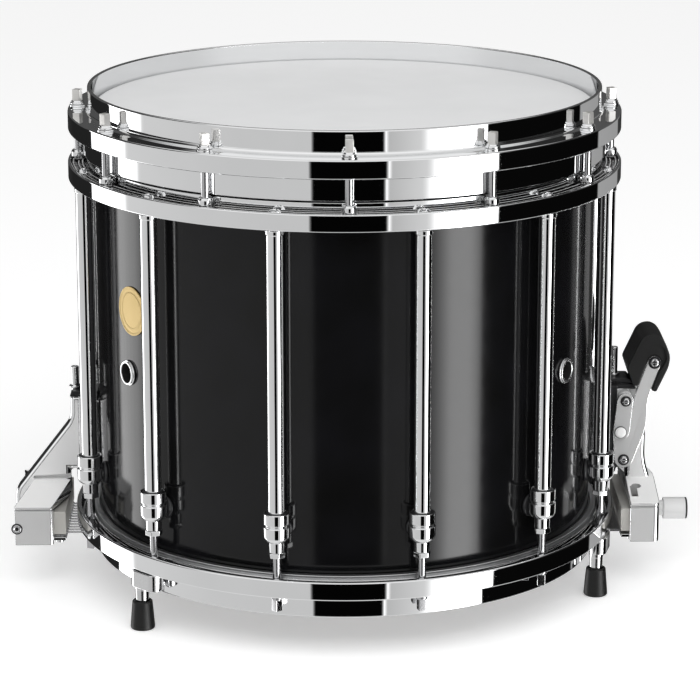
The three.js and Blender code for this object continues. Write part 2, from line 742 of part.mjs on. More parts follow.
// Throw-off carriage: column in the channel, ear for the links, curved gusset and snare box
function throwCarriageGeometry() {
  const inner = channelHalfWidth;
  const columnTop = linkScrewLevel + earRadius;
  const column = slab([
    [columnIn, columnBottom], [throwBoxIn, columnBottom], [throwBoxIn, linkScrewLevel],
    [linkScrewOut + earRadius / 2, columnTop], [columnIn, columnTop],
  ], -inner, inner);
  const parts = [column];
  parts.push(slab([
    [columnIn + boxWall, columnBottom], [throwBoxIn, columnBottom], [throwBoxIn, boxTop - boxWall],
    [throwClampOut + boxWall, boxTop - boxWall],
    [throwClampOut + boxWall, boxBottom], [gussetFootOut, boxBottom], [gussetFootOut, gussetFootLevel],
    [gussetElbowOut, gussetElbowLevel], [gussetOut, gussetWaist], [gussetOut, gussetTop],
    [gussetIn, linkScrewLevel], [columnIn + boxWall, linkScrewLevel],
  ], -gussetHalfWidth, gussetHalfWidth));
  const boss = strapOutline([linkScrewOut, linkScrewLevel, bossRadius],
    [linkScrewOut, linkScrewLevel + pivotLoose / 2, bossRadius]);
  const bossReach = inner + channelWall + leverWall + 2 * runGap;
  parts.push(slab(boss, -bossReach, bossReach));
  const high = boxTop + boxRoofRise;
  const room = [throwBoxIn - cutOverrun, throwBoxOut - boxWall, boxHalfLength - boxWall];
  const casing = cut(
    block(throwBoxIn, throwBoxOut, -boxHalfLength, boxHalfLength, boxBottom, high),
    ...roofTool(throwBoxIn, throwBoxOut),
    block(room[0], room[1], -room[2], room[2], boxBottom - cutOverrun, boxTop - boxWall),
  );
  parts.push(casing);
  for (const side of [-1, 1]) {
    const [from, to] = side > 0 ? [inner - seatGap, inner + tongue] : [-inner - tongue, seatGap - inner];
    parts.push(block(channelOut - tongueWidth - runGap - tongue, channelOut - tongue - runGap,
      from, to, columnBottom, linkScrewLevel - bossRadius));
  }
  const slotLow = pin(pinRadius + runGap, -baseHalfWidth, baseHalfWidth, linkScrewOut, linkScrewLevel);
  const slotHigh = slotLow.clone().translate(0, 0, pivotLoose);
  const slotHalf = pinRadius + runGap;
  const slotMiddle = block(linkScrewOut - slotHalf, linkScrewOut + slotHalf, -baseHalfWidth, baseHalfWidth,
    linkScrewLevel, linkScrewLevel + pivotLoose);
  const pivotSlot = block(pivotOut - pinRadius - runGap, pivotOut + pinRadius + runGap, -baseHalfWidth,
    baseHalfWidth, pivotLevel - pinRadius - runGap, pivotLevel + carriageTravel + pinRadius + runGap);
  const knobHole = axle(knobShaft + runGap, throwClampOut - cutOverrun, gussetFootOut + cutOverrun, 0,
    knobLevel);
  return cut(joined(...parts), slotLow, slotMiddle, slotHigh, pivotSlot, knobHole);
}

// Lever: two cheeks pivoted on the slide's ears, joined by a bridge behind the grip
function leverCheek(from, to) {
  const tip = leverTipRadius;
  const straps = [
    strapOutline([pivotOut, pivotLevel, earRadius], [rivetOut, rivetLevel, linkRadius]),
    strapOutline([pivotOut, pivotLevel, earRadius], [leverBendOut, leverBendLevel, earRadius]),
    strapOutline([rivetOut, rivetLevel, linkRadius], [leverBendOut, leverBendLevel, earRadius]),
    strapOutline([leverBendOut, leverBendLevel, earRadius], [leverWaistOut, leverWaistLevel, tip]),
    strapOutline([leverWaistOut, leverWaistLevel, tip], [gripScrewOut, gripScrewLevel, tip]),
  ];
  return joined(...straps.map((outline) => slab(outline, from, to)));
}

function leverGeometry() {
  const [near, far] = [leverNear, leverFar];
  const bridge = slab(strapOutline(
    [gripScrewOut - leverTipRadius, gripScrewLevel - 2 * leverTipRadius, leverTipRadius / 2],
    [gripScrewOut, gripScrewLevel, leverTipRadius / 2],
  ), -near - seatGap, near + seatGap);
  const rivetHole = pin(pinRadius + seatGap, -far - cutOverrun, far + cutOverrun, rivetOut, rivetLevel);
  const heads = [[pivotOut, pivotLevel], [gripScrewOut, gripScrewLevel]].flatMap(([out, level]) => [
    pin(pinHeadRadius, far - seatGap, far + pinHeadHeight, out, level),
    pin(pinHeadRadius, -far - pinHeadHeight, seatGap - far, out, level),
  ]);
  const pivot = pin(pinRadius, -far - seatGap, far + seatGap, pivotOut, pivotLevel);
  return cut(joined(leverCheek(near, far), leverCheek(-far, -near), bridge, pivot, ...heads), rivetHole);
}

// Rubber grip: a hood over the lever's end, thick towards the drum, with a thin outer skirt.
// The shares place its corners along and across the lever, in radii of the lever's tip.
const gripInnerShares = [[-4.4, -1.75], [-4.2, -1.25]];
const gripOuterShares = [
  [-4.15, 1.85], [0.3, 2.2], [1.7, 1.9], [4, 0.4], [4.7, -0.9], [4.5, -2.3], [3.4, -3.3], [-2.1, -3.6],
];

function gripGeometry() {
  const lean = Math.atan2(gripScrewOut - leverWaistOut, gripScrewLevel - leverWaistLevel);
  const at = (along, across) => [
    gripScrewOut + along * Math.sin(lean) + across * Math.cos(lean),
    gripScrewLevel + along * Math.cos(lean) - across * Math.sin(lean),
  ];
  const byTip = ([along, across]) => at(along * leverTipRadius, across * leverTipRadius);
  const hug = leverTipRadius + runGap;
  const roof = Array.from({ length: arcSteps + 1 }, (_, i) => {
    const angle = (Math.PI * i) / arcSteps;
    return at(hug * Math.sin(angle), -hug * Math.cos(angle));
  });
  const mouth = at(gripOuterShares[0][0] * leverTipRadius, hug);
  return slab([...gripInnerShares.map(byTip), ...roof, mouth, ...gripOuterShares.map(byTip)],
    -gripHalfWidth, gripHalfWidth);
}

// Link on the outer side of a lever cheek, with the rivet into the cheek and the screw into the
// carriage's slotted boss
function linkGeometry(side) {
  const near = leverFar + runGap;
  const far = near + linkThickness;
  const outline = strapOutline([rivetOut, rivetLevel, linkRadius],
    [linkScrewOut, linkScrewLevel, linkRadius]);
  const bolt = (radius, from, to, out, level) =>
    pin(radius, Math.min(side * from, side * to), Math.max(side * from, side * to), out, level);
  const head = far + pinHeadHeight;
  return joined(
    slab(outline, Math.min(side * near, side * far), Math.max(side * near, side * far)),
    bolt(pinRadius, near - leverWall, far, rivetOut, rivetLevel),
    bolt(pinHeadRadius, far - seatGap, head, rivetOut, rivetLevel),
    bolt(pinRadius, channelHalfWidth, far, linkScrewOut, linkScrewLevel),
    bolt(pinHeadRadius, far - seatGap, head, linkScrewOut, linkScrewLevel),
  );
}

// Tension knob: a knurled knob with a shaft that draws the clamp outwards
function knobGeometry() {
  const tip = throwClampOut + seatGap + knobTravel;
  const profile = [
    [0, knobOut + knobLength], [0, tip], [knobShaft, tip], [knobShaft, gussetFootOut + seatGap],
    [knobNeck, gussetFootOut + seatGap], [knobNeck, knobOut], [knobRadius, knobOut],
    [knobRadius, knobOut + knobLength],
  ];
  return turned(profile, drumSides / 4).rotateY(Math.PI / 2).translate(0, 0, knobLevel);
}

// Butt carriage: plate in the base, column, diagonal gusset and snare box in one casting
function buttCarriageGeometry() {
  const half = slidePlateHalfWidth;
  const plate = block(baseOut + seatGap, slidePlateOut, -half, half, buttBottom, buttTop);
  const neckHalf = half - lipWall - 2 * seatGap;
  const neck = block(slidePlateOut - seatGap, lipOut + seatGap, -neckHalf, neckHalf, buttBottom, buttTop);
  const gusset = slab([
    [lipOut + seatGap, buttBottom], [buttBoxIn, buttBottom], [buttBoxIn, boxTop - boxWall],
    [buttClampOut + seatGap, boxTop - boxWall], [buttClampOut + seatGap, boxBottom],
    [buttFootOut, boxBottom], [buttHipOut, buttHipLevel], [buttColumnOut, buttShoulderLevel],
    [buttColumnOut, buttTop], [lipOut + seatGap, buttTop],
  ], -gussetHalfWidth, gussetHalfWidth);
  const high = boxTop + boxRoofRise;
  const knee = gussetHalfWidth;
  const wedge = (skewed, low, top, wall) => {
    const end = boxHalfLength - wall;
    const shape = new THREE.Shape([
      new THREE.Vector2(buttBoxIn - skewed, -knee),
      new THREE.Vector2(buttBoxIn + buttBoxSkew - skewed, -end),
      new THREE.Vector2(buttBoxOut + buttBoxSkew - wall, -end), new THREE.Vector2(buttBoxOut - wall, -knee),
      new THREE.Vector2(buttBoxOut - wall, knee), new THREE.Vector2(buttBoxOut + buttBoxSkew - wall, end),
      new THREE.Vector2(buttBoxIn + buttBoxSkew - skewed, end), new THREE.Vector2(buttBoxIn - skewed, knee),
    ]);
    return new THREE.ExtrudeGeometry(shape, { depth: top - low, bevelEnabled: false }).translate(0, 0, low);
  };
  const casing = cut(
    wedge(0, boxBottom, high, 0),
    ...roofTool(buttBoxIn, buttBoxOut + buttBoxSkew),
    wedge(cutOverrun + buttBoxSkew, boxBottom - cutOverrun, boxTop - boxWall, boxWall),
  );
  const body = joined(plate, neck, gusset, casing);
  return cut(body, heightScrewHole(buttTop - socketDepth, buttTop));
}

// Snare strands between the two clamps, side by side
function strandsGeometry() {
  const from = -(buttClampOut - seatGap);
  const to = throwClampIn - seatGap;
  const strands = Array.from({ length: strandCount }, (_, i) => {
    const across = (i + 0.5 - strandCount / 2) * strandPitch;
    return axle(strandRadius, from, to, across, strandLevel, strandSides);
  });
  const [under, over] = [strandLevel - strandRadius, strandLevel + strandRadius];
  const bars = [[from, from + strandBarWidth], [to - strandBarWidth, to]].map(([near, far]) =>
    block(near, far, -strandsHalfWidth, strandsHalfWidth, under, over));
  return joined(...bars, ...strands);
}

// The drum
place(drum, 'shell', 'blackShell', shellGeometry());
place(drum, 'top_head', 'whiteFilm', headGeometry(topHeadLevel, 1));
place(drum, 'bottom_head', 'clearFilm', headGeometry(bottomHeadLevel, -1));
place(drum, 'top_flesh_hoop', 'satinAluminium', fleshHoopGeometry(topFlange - seatThickness, 1));
place(drum, 'bottom_flesh_hoop', 'satinAluminium', fleshHoopGeometry(bottomFlange + seatThickness, -1));
place(drum, 'top_hoop', 'chrome', hoopGeometry(rimHeight, 1, topSkirtDepth + seatThickness, 0));
place(drum, 'bottom_hoop', 'chrome', bottomHoopGeometry());
place(drum, 'upper_ring', 'chrome', upperRingGeometry());

const footAngles = Array.from({ length: footCount }, (_, i) =>
  THREE.MathUtils.degToRad(footAngleDeg) + (i * 2 * Math.PI) / footCount);
const topRod = topRodGeometry();
const plainColumn = columnGeometry(0);
const footColumn = columnGeometry(bracketShelf + seatGap);
for (let i = 0; i < tensionPoints; i += 1) {
  const number = String(i + 1).padStart(2, '0');
  const rodAngle = i * stepAngle;
  const rod = place(drum, `top_tension_rod_${number}`, 'chrome', topRod, rodAngle);
  rod.position.set(rodCircle * Math.sin(rodAngle), -rodCircle * Math.cos(rodAngle), 0);

  // Three of the bottom rods also hold the feet and sit lower by a bracket's shelf
  const angle = rodAngle + stepAngle / 2;
  const isFoot = footAngles.some((foot) => Math.cos(foot - angle) > Math.cos(stepAngle / 2));
  const column = place(drum, `tension_column_${number}`, 'chrome', isFoot ? footColumn : plainColumn, angle);
  column.position.set(rodCircle * Math.sin(angle), -rodCircle * Math.cos(angle), 0);
}

footAngles.forEach((angle, i) => {
  const foot = new THREE.Group();
  foot.rotation.z = angle;
  foot.position.set(rodCircle * Math.sin(angle), -rodCircle * Math.cos(angle), 0);
  place(foot, `foot_bracket_${i + 1}`, 'polishedCasting', bracketGeometry());
  place(foot, `foot_tip_${i + 1}`, 'rubber', tipGeometry()).position.set(-footOffset, 0, -footDrop);
  drum.add(foot);
});

const vent = THREE.MathUtils.degToRad(ventAngleDeg);
const grommet = grommetGeometry();
for (const [name, angle] of [['vent_grommet_left', -vent], ['vent_grommet_right', vent]]) {
  place(drum, name, 'chrome', grommet, angle).position.z = ventLevel;
}
place(drum, 'badge', 'gold', badgeGeometry()).position.z = ventLevel + badgeRise;

// The throw-off, on the right
const throwOff = new THREE.Group();
const capLevel = slideTop + seatGap;
place(throwOff, 'throw_base', 'polishedCasting', strainerBaseGeometry(slideBottom, slideTop));
place(throwOff, 'throw_cap', 'blackCoating', capGeometry(capLevel, throwCapOut));
place(throwOff, 'throw_height_screw', 'chrome', heightScrewGeometry(
  capLevel + capThickness, slideTop - bridgeThickness + seatGap, capLevel + capThickness + heightScrewRise));
place(throwOff, 'throw_slide', 'blackCoating', throwSlideGeometry());
place(throwOff, 'throw_carriage', 'polishedCasting', throwCarriageGeometry());
place(throwOff, 'throw_lever', 'polishedCasting', leverGeometry());
place(throwOff, 'lever_grip', 'rubber', gripGeometry());
place(throwOff, 'link_front', 'polishedCasting', linkGeometry(-1));
place(throwOff, 'link_back', 'polishedCasting', linkGeometry(1));
place(throwOff, 'throw_clamp_block', 'satinAluminium', clampBlockGeometry(throwClampIn, throwClampOut));
place(throwOff, 'throw_clamp_plate', 'chrome', clampPlateGeometry(throwClampIn, throwClampOut));
place(throwOff, 'tension_knob', 'satinAluminium', knobGeometry());
drum.add(throwOff);

// The butt plate, on the left
const butt = new THREE.Group();
butt.rotation.z = Math.PI;
const buttCapLevel = buttTop + seatGap;
place(butt, 'butt_base', 'polishedCasting', strainerBaseGeometry(buttBottom, buttTop));
place(butt, 'butt_cap', 'blackCoating', capGeometry(buttCapLevel, buttColumnOut));
place(butt, 'butt_height_screw', 'chrome', heightScrewGeometry(
  buttCapLevel + capThickness, buttTop - socketDepth, buttCapLevel + capThickness + heightScrewRise));
place(butt, 'butt_carriage', 'polishedCasting', buttCarriageGeometry());
place(butt, 'butt_clamp_block', 'satinAluminium', clampBlockGeometry(buttClampIn, buttClampOut));
place(butt, 'butt_clamp_plate', 'chrome', clampPlateGeometry(buttClampIn, buttClampOut));
drum.add(butt);

place(drum, 'snare_strands', 'steelStrand', strandsGeometry());

// The whole stands on its feet, centred between the butt plate's outer edge and the knob's end
drum.position.set((buttHipOut - knobOut - knobLength) / 2, 0, footDrop);

export default drum;
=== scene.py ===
import math
import bmesh
import bpy
from mathutils import Matrix, Vector


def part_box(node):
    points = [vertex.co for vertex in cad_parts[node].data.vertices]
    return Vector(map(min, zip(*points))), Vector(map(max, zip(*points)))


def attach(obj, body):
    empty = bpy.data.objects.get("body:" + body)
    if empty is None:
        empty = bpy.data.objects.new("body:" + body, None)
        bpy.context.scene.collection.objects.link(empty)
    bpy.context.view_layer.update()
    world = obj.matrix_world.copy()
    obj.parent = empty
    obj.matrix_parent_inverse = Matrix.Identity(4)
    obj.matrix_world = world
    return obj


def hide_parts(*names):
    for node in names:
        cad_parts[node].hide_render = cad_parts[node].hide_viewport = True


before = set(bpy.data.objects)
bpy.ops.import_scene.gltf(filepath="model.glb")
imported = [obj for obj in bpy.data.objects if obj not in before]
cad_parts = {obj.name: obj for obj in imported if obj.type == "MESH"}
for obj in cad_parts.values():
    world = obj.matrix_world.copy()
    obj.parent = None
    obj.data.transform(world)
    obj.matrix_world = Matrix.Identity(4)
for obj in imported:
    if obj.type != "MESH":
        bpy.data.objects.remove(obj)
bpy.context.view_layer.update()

scene = bpy.context.scene
scene.view_settings.view_transform = 'Standard'

# Camera. The drum was photographed through a long lens from straight in front, a little above the
# playing head, so that its upright edges run almost parallel and its head shows as a flat ellipse.
photo_width = 700
focal_pixels = 3003.512
sensor_width = 36
clip_distance = 20
view_distance = 2.153713
view_azimuth = math.radians(-1.062)
view_elevation = math.radians(15.128)
aim_offset = 0.003783
aim_height = 0.164554
shell_low, shell_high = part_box("shell")
drum_axis = (shell_low[0] + shell_high[0]) / 2
aim = Vector((drum_axis + aim_offset, 0, aim_height))
away = Vector((
    math.sin(view_azimuth) * math.cos(view_elevation),
    -math.cos(view_azimuth) * math.cos(view_elevation),
    math.sin(view_elevation)))
lens = bpy.data.cameras.new("long_lens")
lens.sensor_width = sensor_width
lens.lens = sensor_width * focal_pixels / photo_width
lens.clip_end = clip_distance
camera = bpy.data.objects.new("photograph_view", lens)
camera.location = aim + away * view_distance
camera.rotation_euler = (-away).to_track_quat('-Z', 'Y').to_euler()
scene.collection.objects.link(camera)
scene.camera = camera


# Studio. The drum stands on a white sweep between tall reflector cards: a black one round the
# camera, pale ones beside it and bright strips further out, which draw the bands in the chrome.
def node(tree, kind, *sources, **settings):
    """Adds a node. Each source is a value for its socket, an output to link to it, or None."""
    made = tree.nodes.new(kind)
    for name, value in settings.items():
        setattr(made, name, value)
    for socket, source in zip(made.inputs, sources):
        if hasattr(source, "is_linked"):
            tree.links.new(source, socket)
        elif source is not None:
            socket.default_value = source
    return made


def colour_stops(tree, factor, stops):
    ramp = node(tree, "ShaderNodeValToRGB", factor)
    points = ramp.color_ramp.elements
    while len(points) < len(stops):
        points.new(1)
    for point, (place, shade) in zip(points, stops):
        point.position = place
        point.color = (*shade, 1) if isinstance(shade, tuple) else (shade, shade, shade, 1)
    return ramp.outputs["Color"]


def ramped(tree, source, start, end, low=0.0, high=1.0):
    return node(tree, "ShaderNodeMapRange", source, start, end, low, high).outputs[0]


def maths(tree, operation, first, second):
    return node(tree, "ShaderNodeMath", first, second, operation=operation).outputs[0]


def mixed(tree, factor, first, second):
    mix = node(tree, "ShaderNodeMix", factor, None, first, second, data_type='FLOAT')
    return mix.outputs["Result"]


def blank_material(name):
    made = bpy.data.materials.new(name)
    made.use_nodes = True
    made.node_tree.nodes.clear()
    return made


# (degrees round from the camera, brightness), below and above the level of the drum's middle
brightest_card = 12.0
card_edges_low = [
    (-180, 0.05), (-153.2, 0.02), (-153, 0.02), (-129.2, 0.02), (-129, 4.2), (-112, 4.2),
    (-103, 1.6), (-101, 0.82), (-60, 0.74), (-15.4, 0.72), (-15.2, 1.5), (-14.5, 1.5),
    (-14.3, 0.0015), (16.4, 0.0015), (16.6, 1.5), (17.3, 1.5), (17.5, 0.62), (33, 0.85), (38, 2),
    (48, 11), (58, 11), (63.4, 6), (63.6, 0.003), (126.8, 0.003), (127, 0.45), (155, 0.4),
    (155.2, 0.05), (180, 0.05)]
card_edges_high = [
    (-180, 0.1), (-134, 0.1), (-132, 0.03), (-78, 0.03), (-62, 1.15), (58, 1.15), (74, 0.03),
    (128, 0.03), (134, 0.12), (180, 0.1)]


def cards(tree, azimuth, edges):
    """Brightness by direction. The stops hold its square root, which keeps the dark ones exact."""
    stops = [((angle + 180) / 360, (shade / brightest_card) ** 0.5) for angle, shade in edges]
    shade = colour_stops(tree, azimuth, stops)
    return maths(tree, 'MULTIPLY', maths(tree, 'POWER', shade, 2.0), brightest_card)


mirrored_ceiling = 0.9
mirrored_floor = 0.9
ambient = 0.74
backdrop = 1.0
studio = bpy.data.worlds.new("studio")
studio.use_nodes = True
scene.world = studio
tree = studio.node_tree
tree.nodes.clear()
outward = node(tree, "ShaderNodeTexCoord").outputs["Generated"]
axes = node(tree, "ShaderNodeSeparateXYZ", outward)
rise = axes.outputs["Z"]
forward = maths(tree, 'MULTIPLY', axes.outputs["Y"], -1.0)
bearing = maths(tree, 'ARCTAN2', axes.outputs["X"], forward)
azimuth = ramped(tree, bearing, -math.pi, math.pi)
card_light = mixed(tree, ramped(tree, rise, 0.015, 0.03),
                   cards(tree, azimuth, card_edges_low), cards(tree, azimuth, card_edges_high))
with_ceiling = mixed(tree, ramped(tree, rise, 0.6, 0.75), card_light, mirrored_ceiling)
with_floor = mixed(tree, ramped(tree, rise, -0.75, -0.6, 1.0, 0.0), with_ceiling, mirrored_floor)
ray = node(tree, "ShaderNodeLightPath")
in_metal = mixed(tree, ray.outputs["Is Glossy Ray"], ambient, with_floor)
in_view = maths(tree, 'MAXIMUM', ray.outputs["Is Camera Ray"], ray.outputs["Is Transmission Ray"])
seen = mixed(tree, in_view, in_metal, backdrop)
sky = node(tree, "ShaderNodeBackground", None, seen)
node(tree, "ShaderNodeOutputWorld", sky.outputs[0])

sweep_size = 5.0
paper_white = 0.9
paper_glow = 0.35
bm = bmesh.new()
bmesh.ops.create_grid(bm, x_segments=1, y_segments=1, size=sweep_size)
sheet = bpy.data.meshes.new("white_sweep")
bm.to_mesh(sheet)
bm.free()
floor = bpy.data.objects.new("white_sweep", sheet)
scene.collection.objects.link(floor)
floor.visible_glossy = False
paper = blank_material("white_paper")
tree = paper.node_tree
matt = node(tree, "ShaderNodeBsdfDiffuse", (paper_white, paper_white, paper_white, 1))
lift = node(tree, "ShaderNodeEmission", (1, 1, 1, 1), paper_glow)
both = node(tree, "ShaderNodeAddShader", matt.outputs[0], lift.outputs[0])
node(tree, "ShaderNodeOutputMaterial", both.outputs[0])
sheet.materials.append(paper)

softbox = bpy.data.lights.new("overhead_softbox", 'AREA')
softbox.shape = 'RECTANGLE'
softbox.size = 2.2
softbox.size_y = 1.4
softbox.energy = 20
lamp = bpy.data.objects.new("overhead_softbox", softbox)
lamp.location = (0.1, -1.3, 1.7)
lamp_aim = Vector((0, 0, 0.2))
lamp.rotation_euler = (lamp_aim - lamp.location).to_track_quat('-Z', 'Y').to_euler()
lamp.visible_glossy = False
scene.collection.objects.link(lamp)

# Shell. A maple shell of several plies, lacquered gloss black outside and left clear inside, with
# its bearing edges rounded over. Two vent holes are bored through it, one either side of the front.
mm = 0.001
fine_steps = 256
weld_distance = 1e-4
sharp_angle = math.radians(32)


def span(name):
    """Lowest and highest corner of a node in millimetres about the drum's axis."""
    return [(Vector(corner) - Vector((drum_axis, 0, 0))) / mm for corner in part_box(name)]


def rounded(bm, geom, size, segments, affect='EDGES'):
    bmesh.ops.bevel(bm, geom=geom, offset=size, offset_type='OFFSET', segments=segments,
                    profile=0.5, affect=affect, material=-1)
    return bm


def outline(corners):
    """A closed wire in the XZ plane through (out, up, rounding) corners, in millimetres."""
    bm = bmesh.new()
    points = [bm.verts.new((corner[0], 0, corner[1])) for corner in corners]
    for point, following in zip(points, points[1:] + points[:1]):
        bm.edges.new((point, following))
    roundings = [corner[2] if len(corner) > 2 else 0 for corner in corners]
    for size in sorted(set(roundings) - {0}):
        picked = [point for point, rounding in zip(points, roundings) if rounding == size]
        rounded(bm, picked, size, 4, 'VERTICES')
    return bm


def turned(corners, steps=fine_steps):
    """Turns a section of (out, up, rounding) corners round the Z axis into a closed skin."""
    bm = outline(corners)
    bmesh.ops.spin(bm, geom=bm.verts[:] + bm.edges[:], cent=(0, 0, 0), axis=(0, 0, 1),
                   dvec=(0, 0, 0), angle=2 * math.pi, steps=steps, use_merge=True,
                   use_normal_flip=False, use_duplicate=False)
    bmesh.ops.remove_doubles(bm, verts=bm.verts, dist=weld_distance)
    return bm


def bar(radius, length, steps=32):
    """A round bar along Z, centred on the origin."""
    bm = bmesh.new()
    bmesh.ops.create_cone(bm, cap_ends=True, segments=steps, radius1=radius, radius2=radius,
                          depth=length)
    return bm


def shift(out, across, up):
    return Matrix.Translation((out, across, up))


def quarter(axis, sign=1):
    """A quarter turn about an axis."""
    return Matrix.Rotation(sign * math.pi / 2, 4, axis)


def moved(bm, matrix):
    bmesh.ops.transform(bm, matrix=matrix, verts=bm.verts)
    return bm


def lined(bm, radius):
    """Gives the faces within a radius of the Z axis the second finish."""
    for face in bm.faces:
        if face.calc_center_median().xy.length < radius:
            face.material_index = 1
    return bm


def joined(*parts):
    """One bmesh out of several, each left as it is."""
    whole = bmesh.new()
    for part in parts:
        passing = bpy.data.meshes.new("passing")
        part.to_mesh(passing)
        part.free()
        whole.from_mesh(passing)
        bpy.data.meshes.remove(passing)
    return whole


def crisp(made):
    """Keeps corners sharp and the flat faces between roundings flat."""
    made.data.set_sharp_from_angle(angle=sharp_angle)
    made.modifiers.new("flat_faces_stay_flat", 'WEIGHTED_NORMAL').keep_sharp = True
    return made


def piece(name, bm, material, body="drum_frame", stands_for=()):
    """Finishes a shape drawn in millimetres about the drum's axis as a piece of the drum."""
    bmesh.ops.scale(bm, vec=(mm, mm, mm), verts=bm.verts)
    bmesh.ops.translate(bm, vec=(drum_axis, 0, 0), verts=bm.verts)
    bmesh.ops.recalc_face_normals(bm, faces=bm.faces)
    mesh = bpy.data.meshes.new(name)
    bm.to_mesh(mesh)
    bm.free()
    mesh.shade_smooth()
    for each in material if isinstance(material, list) else [material]:
        mesh.materials.append(each)
    made = bpy.data.objects.new(name, mesh)
    scene.collection.objects.link(made)
    if stands_for:
        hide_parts(*stands_for)
    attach(made, body)
    return crisp(made)


def bored(made, cutter, overlapping=False):
    """Cuts a closed bmesh, drawn in millimetres about the drum's axis, out of a piece."""
    moved(cutter, shift(drum_axis, 0, 0) @ Matrix.Scale(mm, 4))
    bmesh.ops.recalc_face_normals(cutter, faces=cutter.faces)
    mesh = bpy.data.meshes.new("cutter")
    cutter.to_mesh(mesh)
    cutter.free()
    tool = bpy.data.objects.new("cutter", mesh)
    scene.collection.objects.link(tool)
    made.modifiers.clear()
    cut = made.modifiers.new("cut", 'BOOLEAN')
    cut.operation = 'DIFFERENCE'
    cut.solver = 'EXACT'
    cut.use_self = overlapping
    cut.object = tool
    bpy.context.view_layer.update()
    evaluated = made.evaluated_get(bpy.context.evaluated_depsgraph_get())
    result = bpy.data.meshes.new_from_object(evaluated)
    made.modifiers.remove(cut)
    bpy.data.objects.remove(tool)
    bpy.data.meshes.remove(mesh)
    made.data = result
    return crisp(made)


def noise(tree, scale, detail=2):
    """A cloudy pattern in the piece's own place, with its scale in cycles per metre."""
    place = node(tree, "ShaderNodeTexCoord").outputs["Object"]
    cloud = node(tree, "ShaderNodeTexNoise", place, None, scale, detail, noise_dimensions='3D')
    return cloud.outputs[0]


def finish(name, colour, second, roughness, metallic, speckle, depth, refraction=1.5):
    """A mottled surface: speckle is the size of its grain and depth its height, in millimetres."""
    mottle = 40
    made = blank_material(name)
    tree = made.node_tree
    grain = noise(tree, 1 / (speckle * mm), 4)
    colours = colour_stops(tree, noise(tree, 1 / (mottle * mm)), [(0.3, second), (0.7, colour)])
    sheen = ramped(tree, grain, 0.3, 0.7, *roughness)
    shader = node(tree, "ShaderNodeBsdfPrincipled", colours, metallic, sheen, refraction)
    if depth:
        bump = node(tree, "ShaderNodeBump", 1.0, depth * mm)
        tree.links.new(grain, bump.inputs["Height"])
        tree.links.new(bump.outputs[0], shader.inputs["Normal"])
    node(tree, "ShaderNodeOutputMaterial", shader.outputs[0])
    return made


lacquer = finish("black_lacquer", (0.006, 0.006, 0.007), (0.004, 0.004, 0.004), (0.1, 0.13),
                 0, 9, 0, 1.36)
maple = finish("maple_inside", (0.55, 0.36, 0.18), (0.47, 0.29, 0.13), (0.4, 0.55), 0, 3, 0.02)
shell_wall = 6.5
edge_round = 1.8
edge_slope = shell_wall * 0.8
shell_low, shell_high = span("shell")
shell_radius = shell_high.x
shell_inner = shell_radius - shell_wall
vent_angle = math.radians(58)
vent_low, vent_high = span("vent_grommet_right")
vent_level = (vent_low.z + vent_high.z) / 2
vent_bore = 7.5
body = turned([
    (shell_inner, shell_low.z + edge_slope), (shell_radius - edge_round, shell_low.z, 0.4),
    (shell_radius, shell_low.z + edge_round, 0.8), (shell_radius, shell_high.z - edge_round, 0.8),
    (shell_radius - edge_round, shell_high.z, 0.4), (shell_inner, shell_high.z - edge_slope)])
shell = piece("lacquered_shell", lined(body, shell_radius - edge_round), [lacquer, maple],
              stands_for=["shell"])


def facing(angle, level, out):
    """Stands a shape drawn along +Z on the drum's side, with Z pointing out of it."""
    return Matrix.Rotation(angle, 4, 'Z') @ shift(0, -out, level) @ quarter('X')


for side in (-1, 1):
    place = facing(side * vent_angle, vent_level, shell_radius - shell_wall / 2)
    bored(shell, moved(bar(vent_bore, 4 * shell_wall, 48), place))

# Vent grommets. A turned and plated eyelet is pressed into each vent hole and rolled over at both
# ends, so that the drum can breathe without splintering the edge of the hole.
chrome = finish("chrome_plate", (0.93, 0.935, 0.94), (0.9, 0.905, 0.91), (0.015, 0.035), 1, 6, 0)
# Painted shade: the eyelet bores are painted near black for the dark inside of the holes.
bore_painted_shade = finish("eyelet_bore_painted_shade", (0.05, 0.05, 0.05), (0.03, 0.03, 0.03), (0.4, 0.5),
                   0.6, 0.8, 0)
eyelet_bore = 6.6
for name, side in (("left", -1), ("right", 1)):
    eyelet = turned([
        (eyelet_bore, -shell_wall - 1.3, 0.3), (8.6, -shell_wall - 1.3, 0.5),
        (8.6, -shell_wall - 0.4), (7.2, -shell_wall - 0.4), (7.2, 0.3), (8.8, 0.3, 0.1),
        (8.8, 1.3, 0.4), (7.8, 1.5, 0.1), (7.8, 1.8, 0.1), (8.3, 2, 0.2), (8.1, 2.7, 0.4),
        (7, 2.7, 0.4), (eyelet_bore, 2.1, 0.2)], 64)
    # The bore faces get the painted shade.
    moved(lined(eyelet, eyelet_bore + 0.15), facing(side * vent_angle, vent_level, shell_radius))
    piece(f"vent_eyelet_{name}", eyelet, [chrome, bore_painted_shade],
          stands_for=[f"vent_grommet_{name}"])

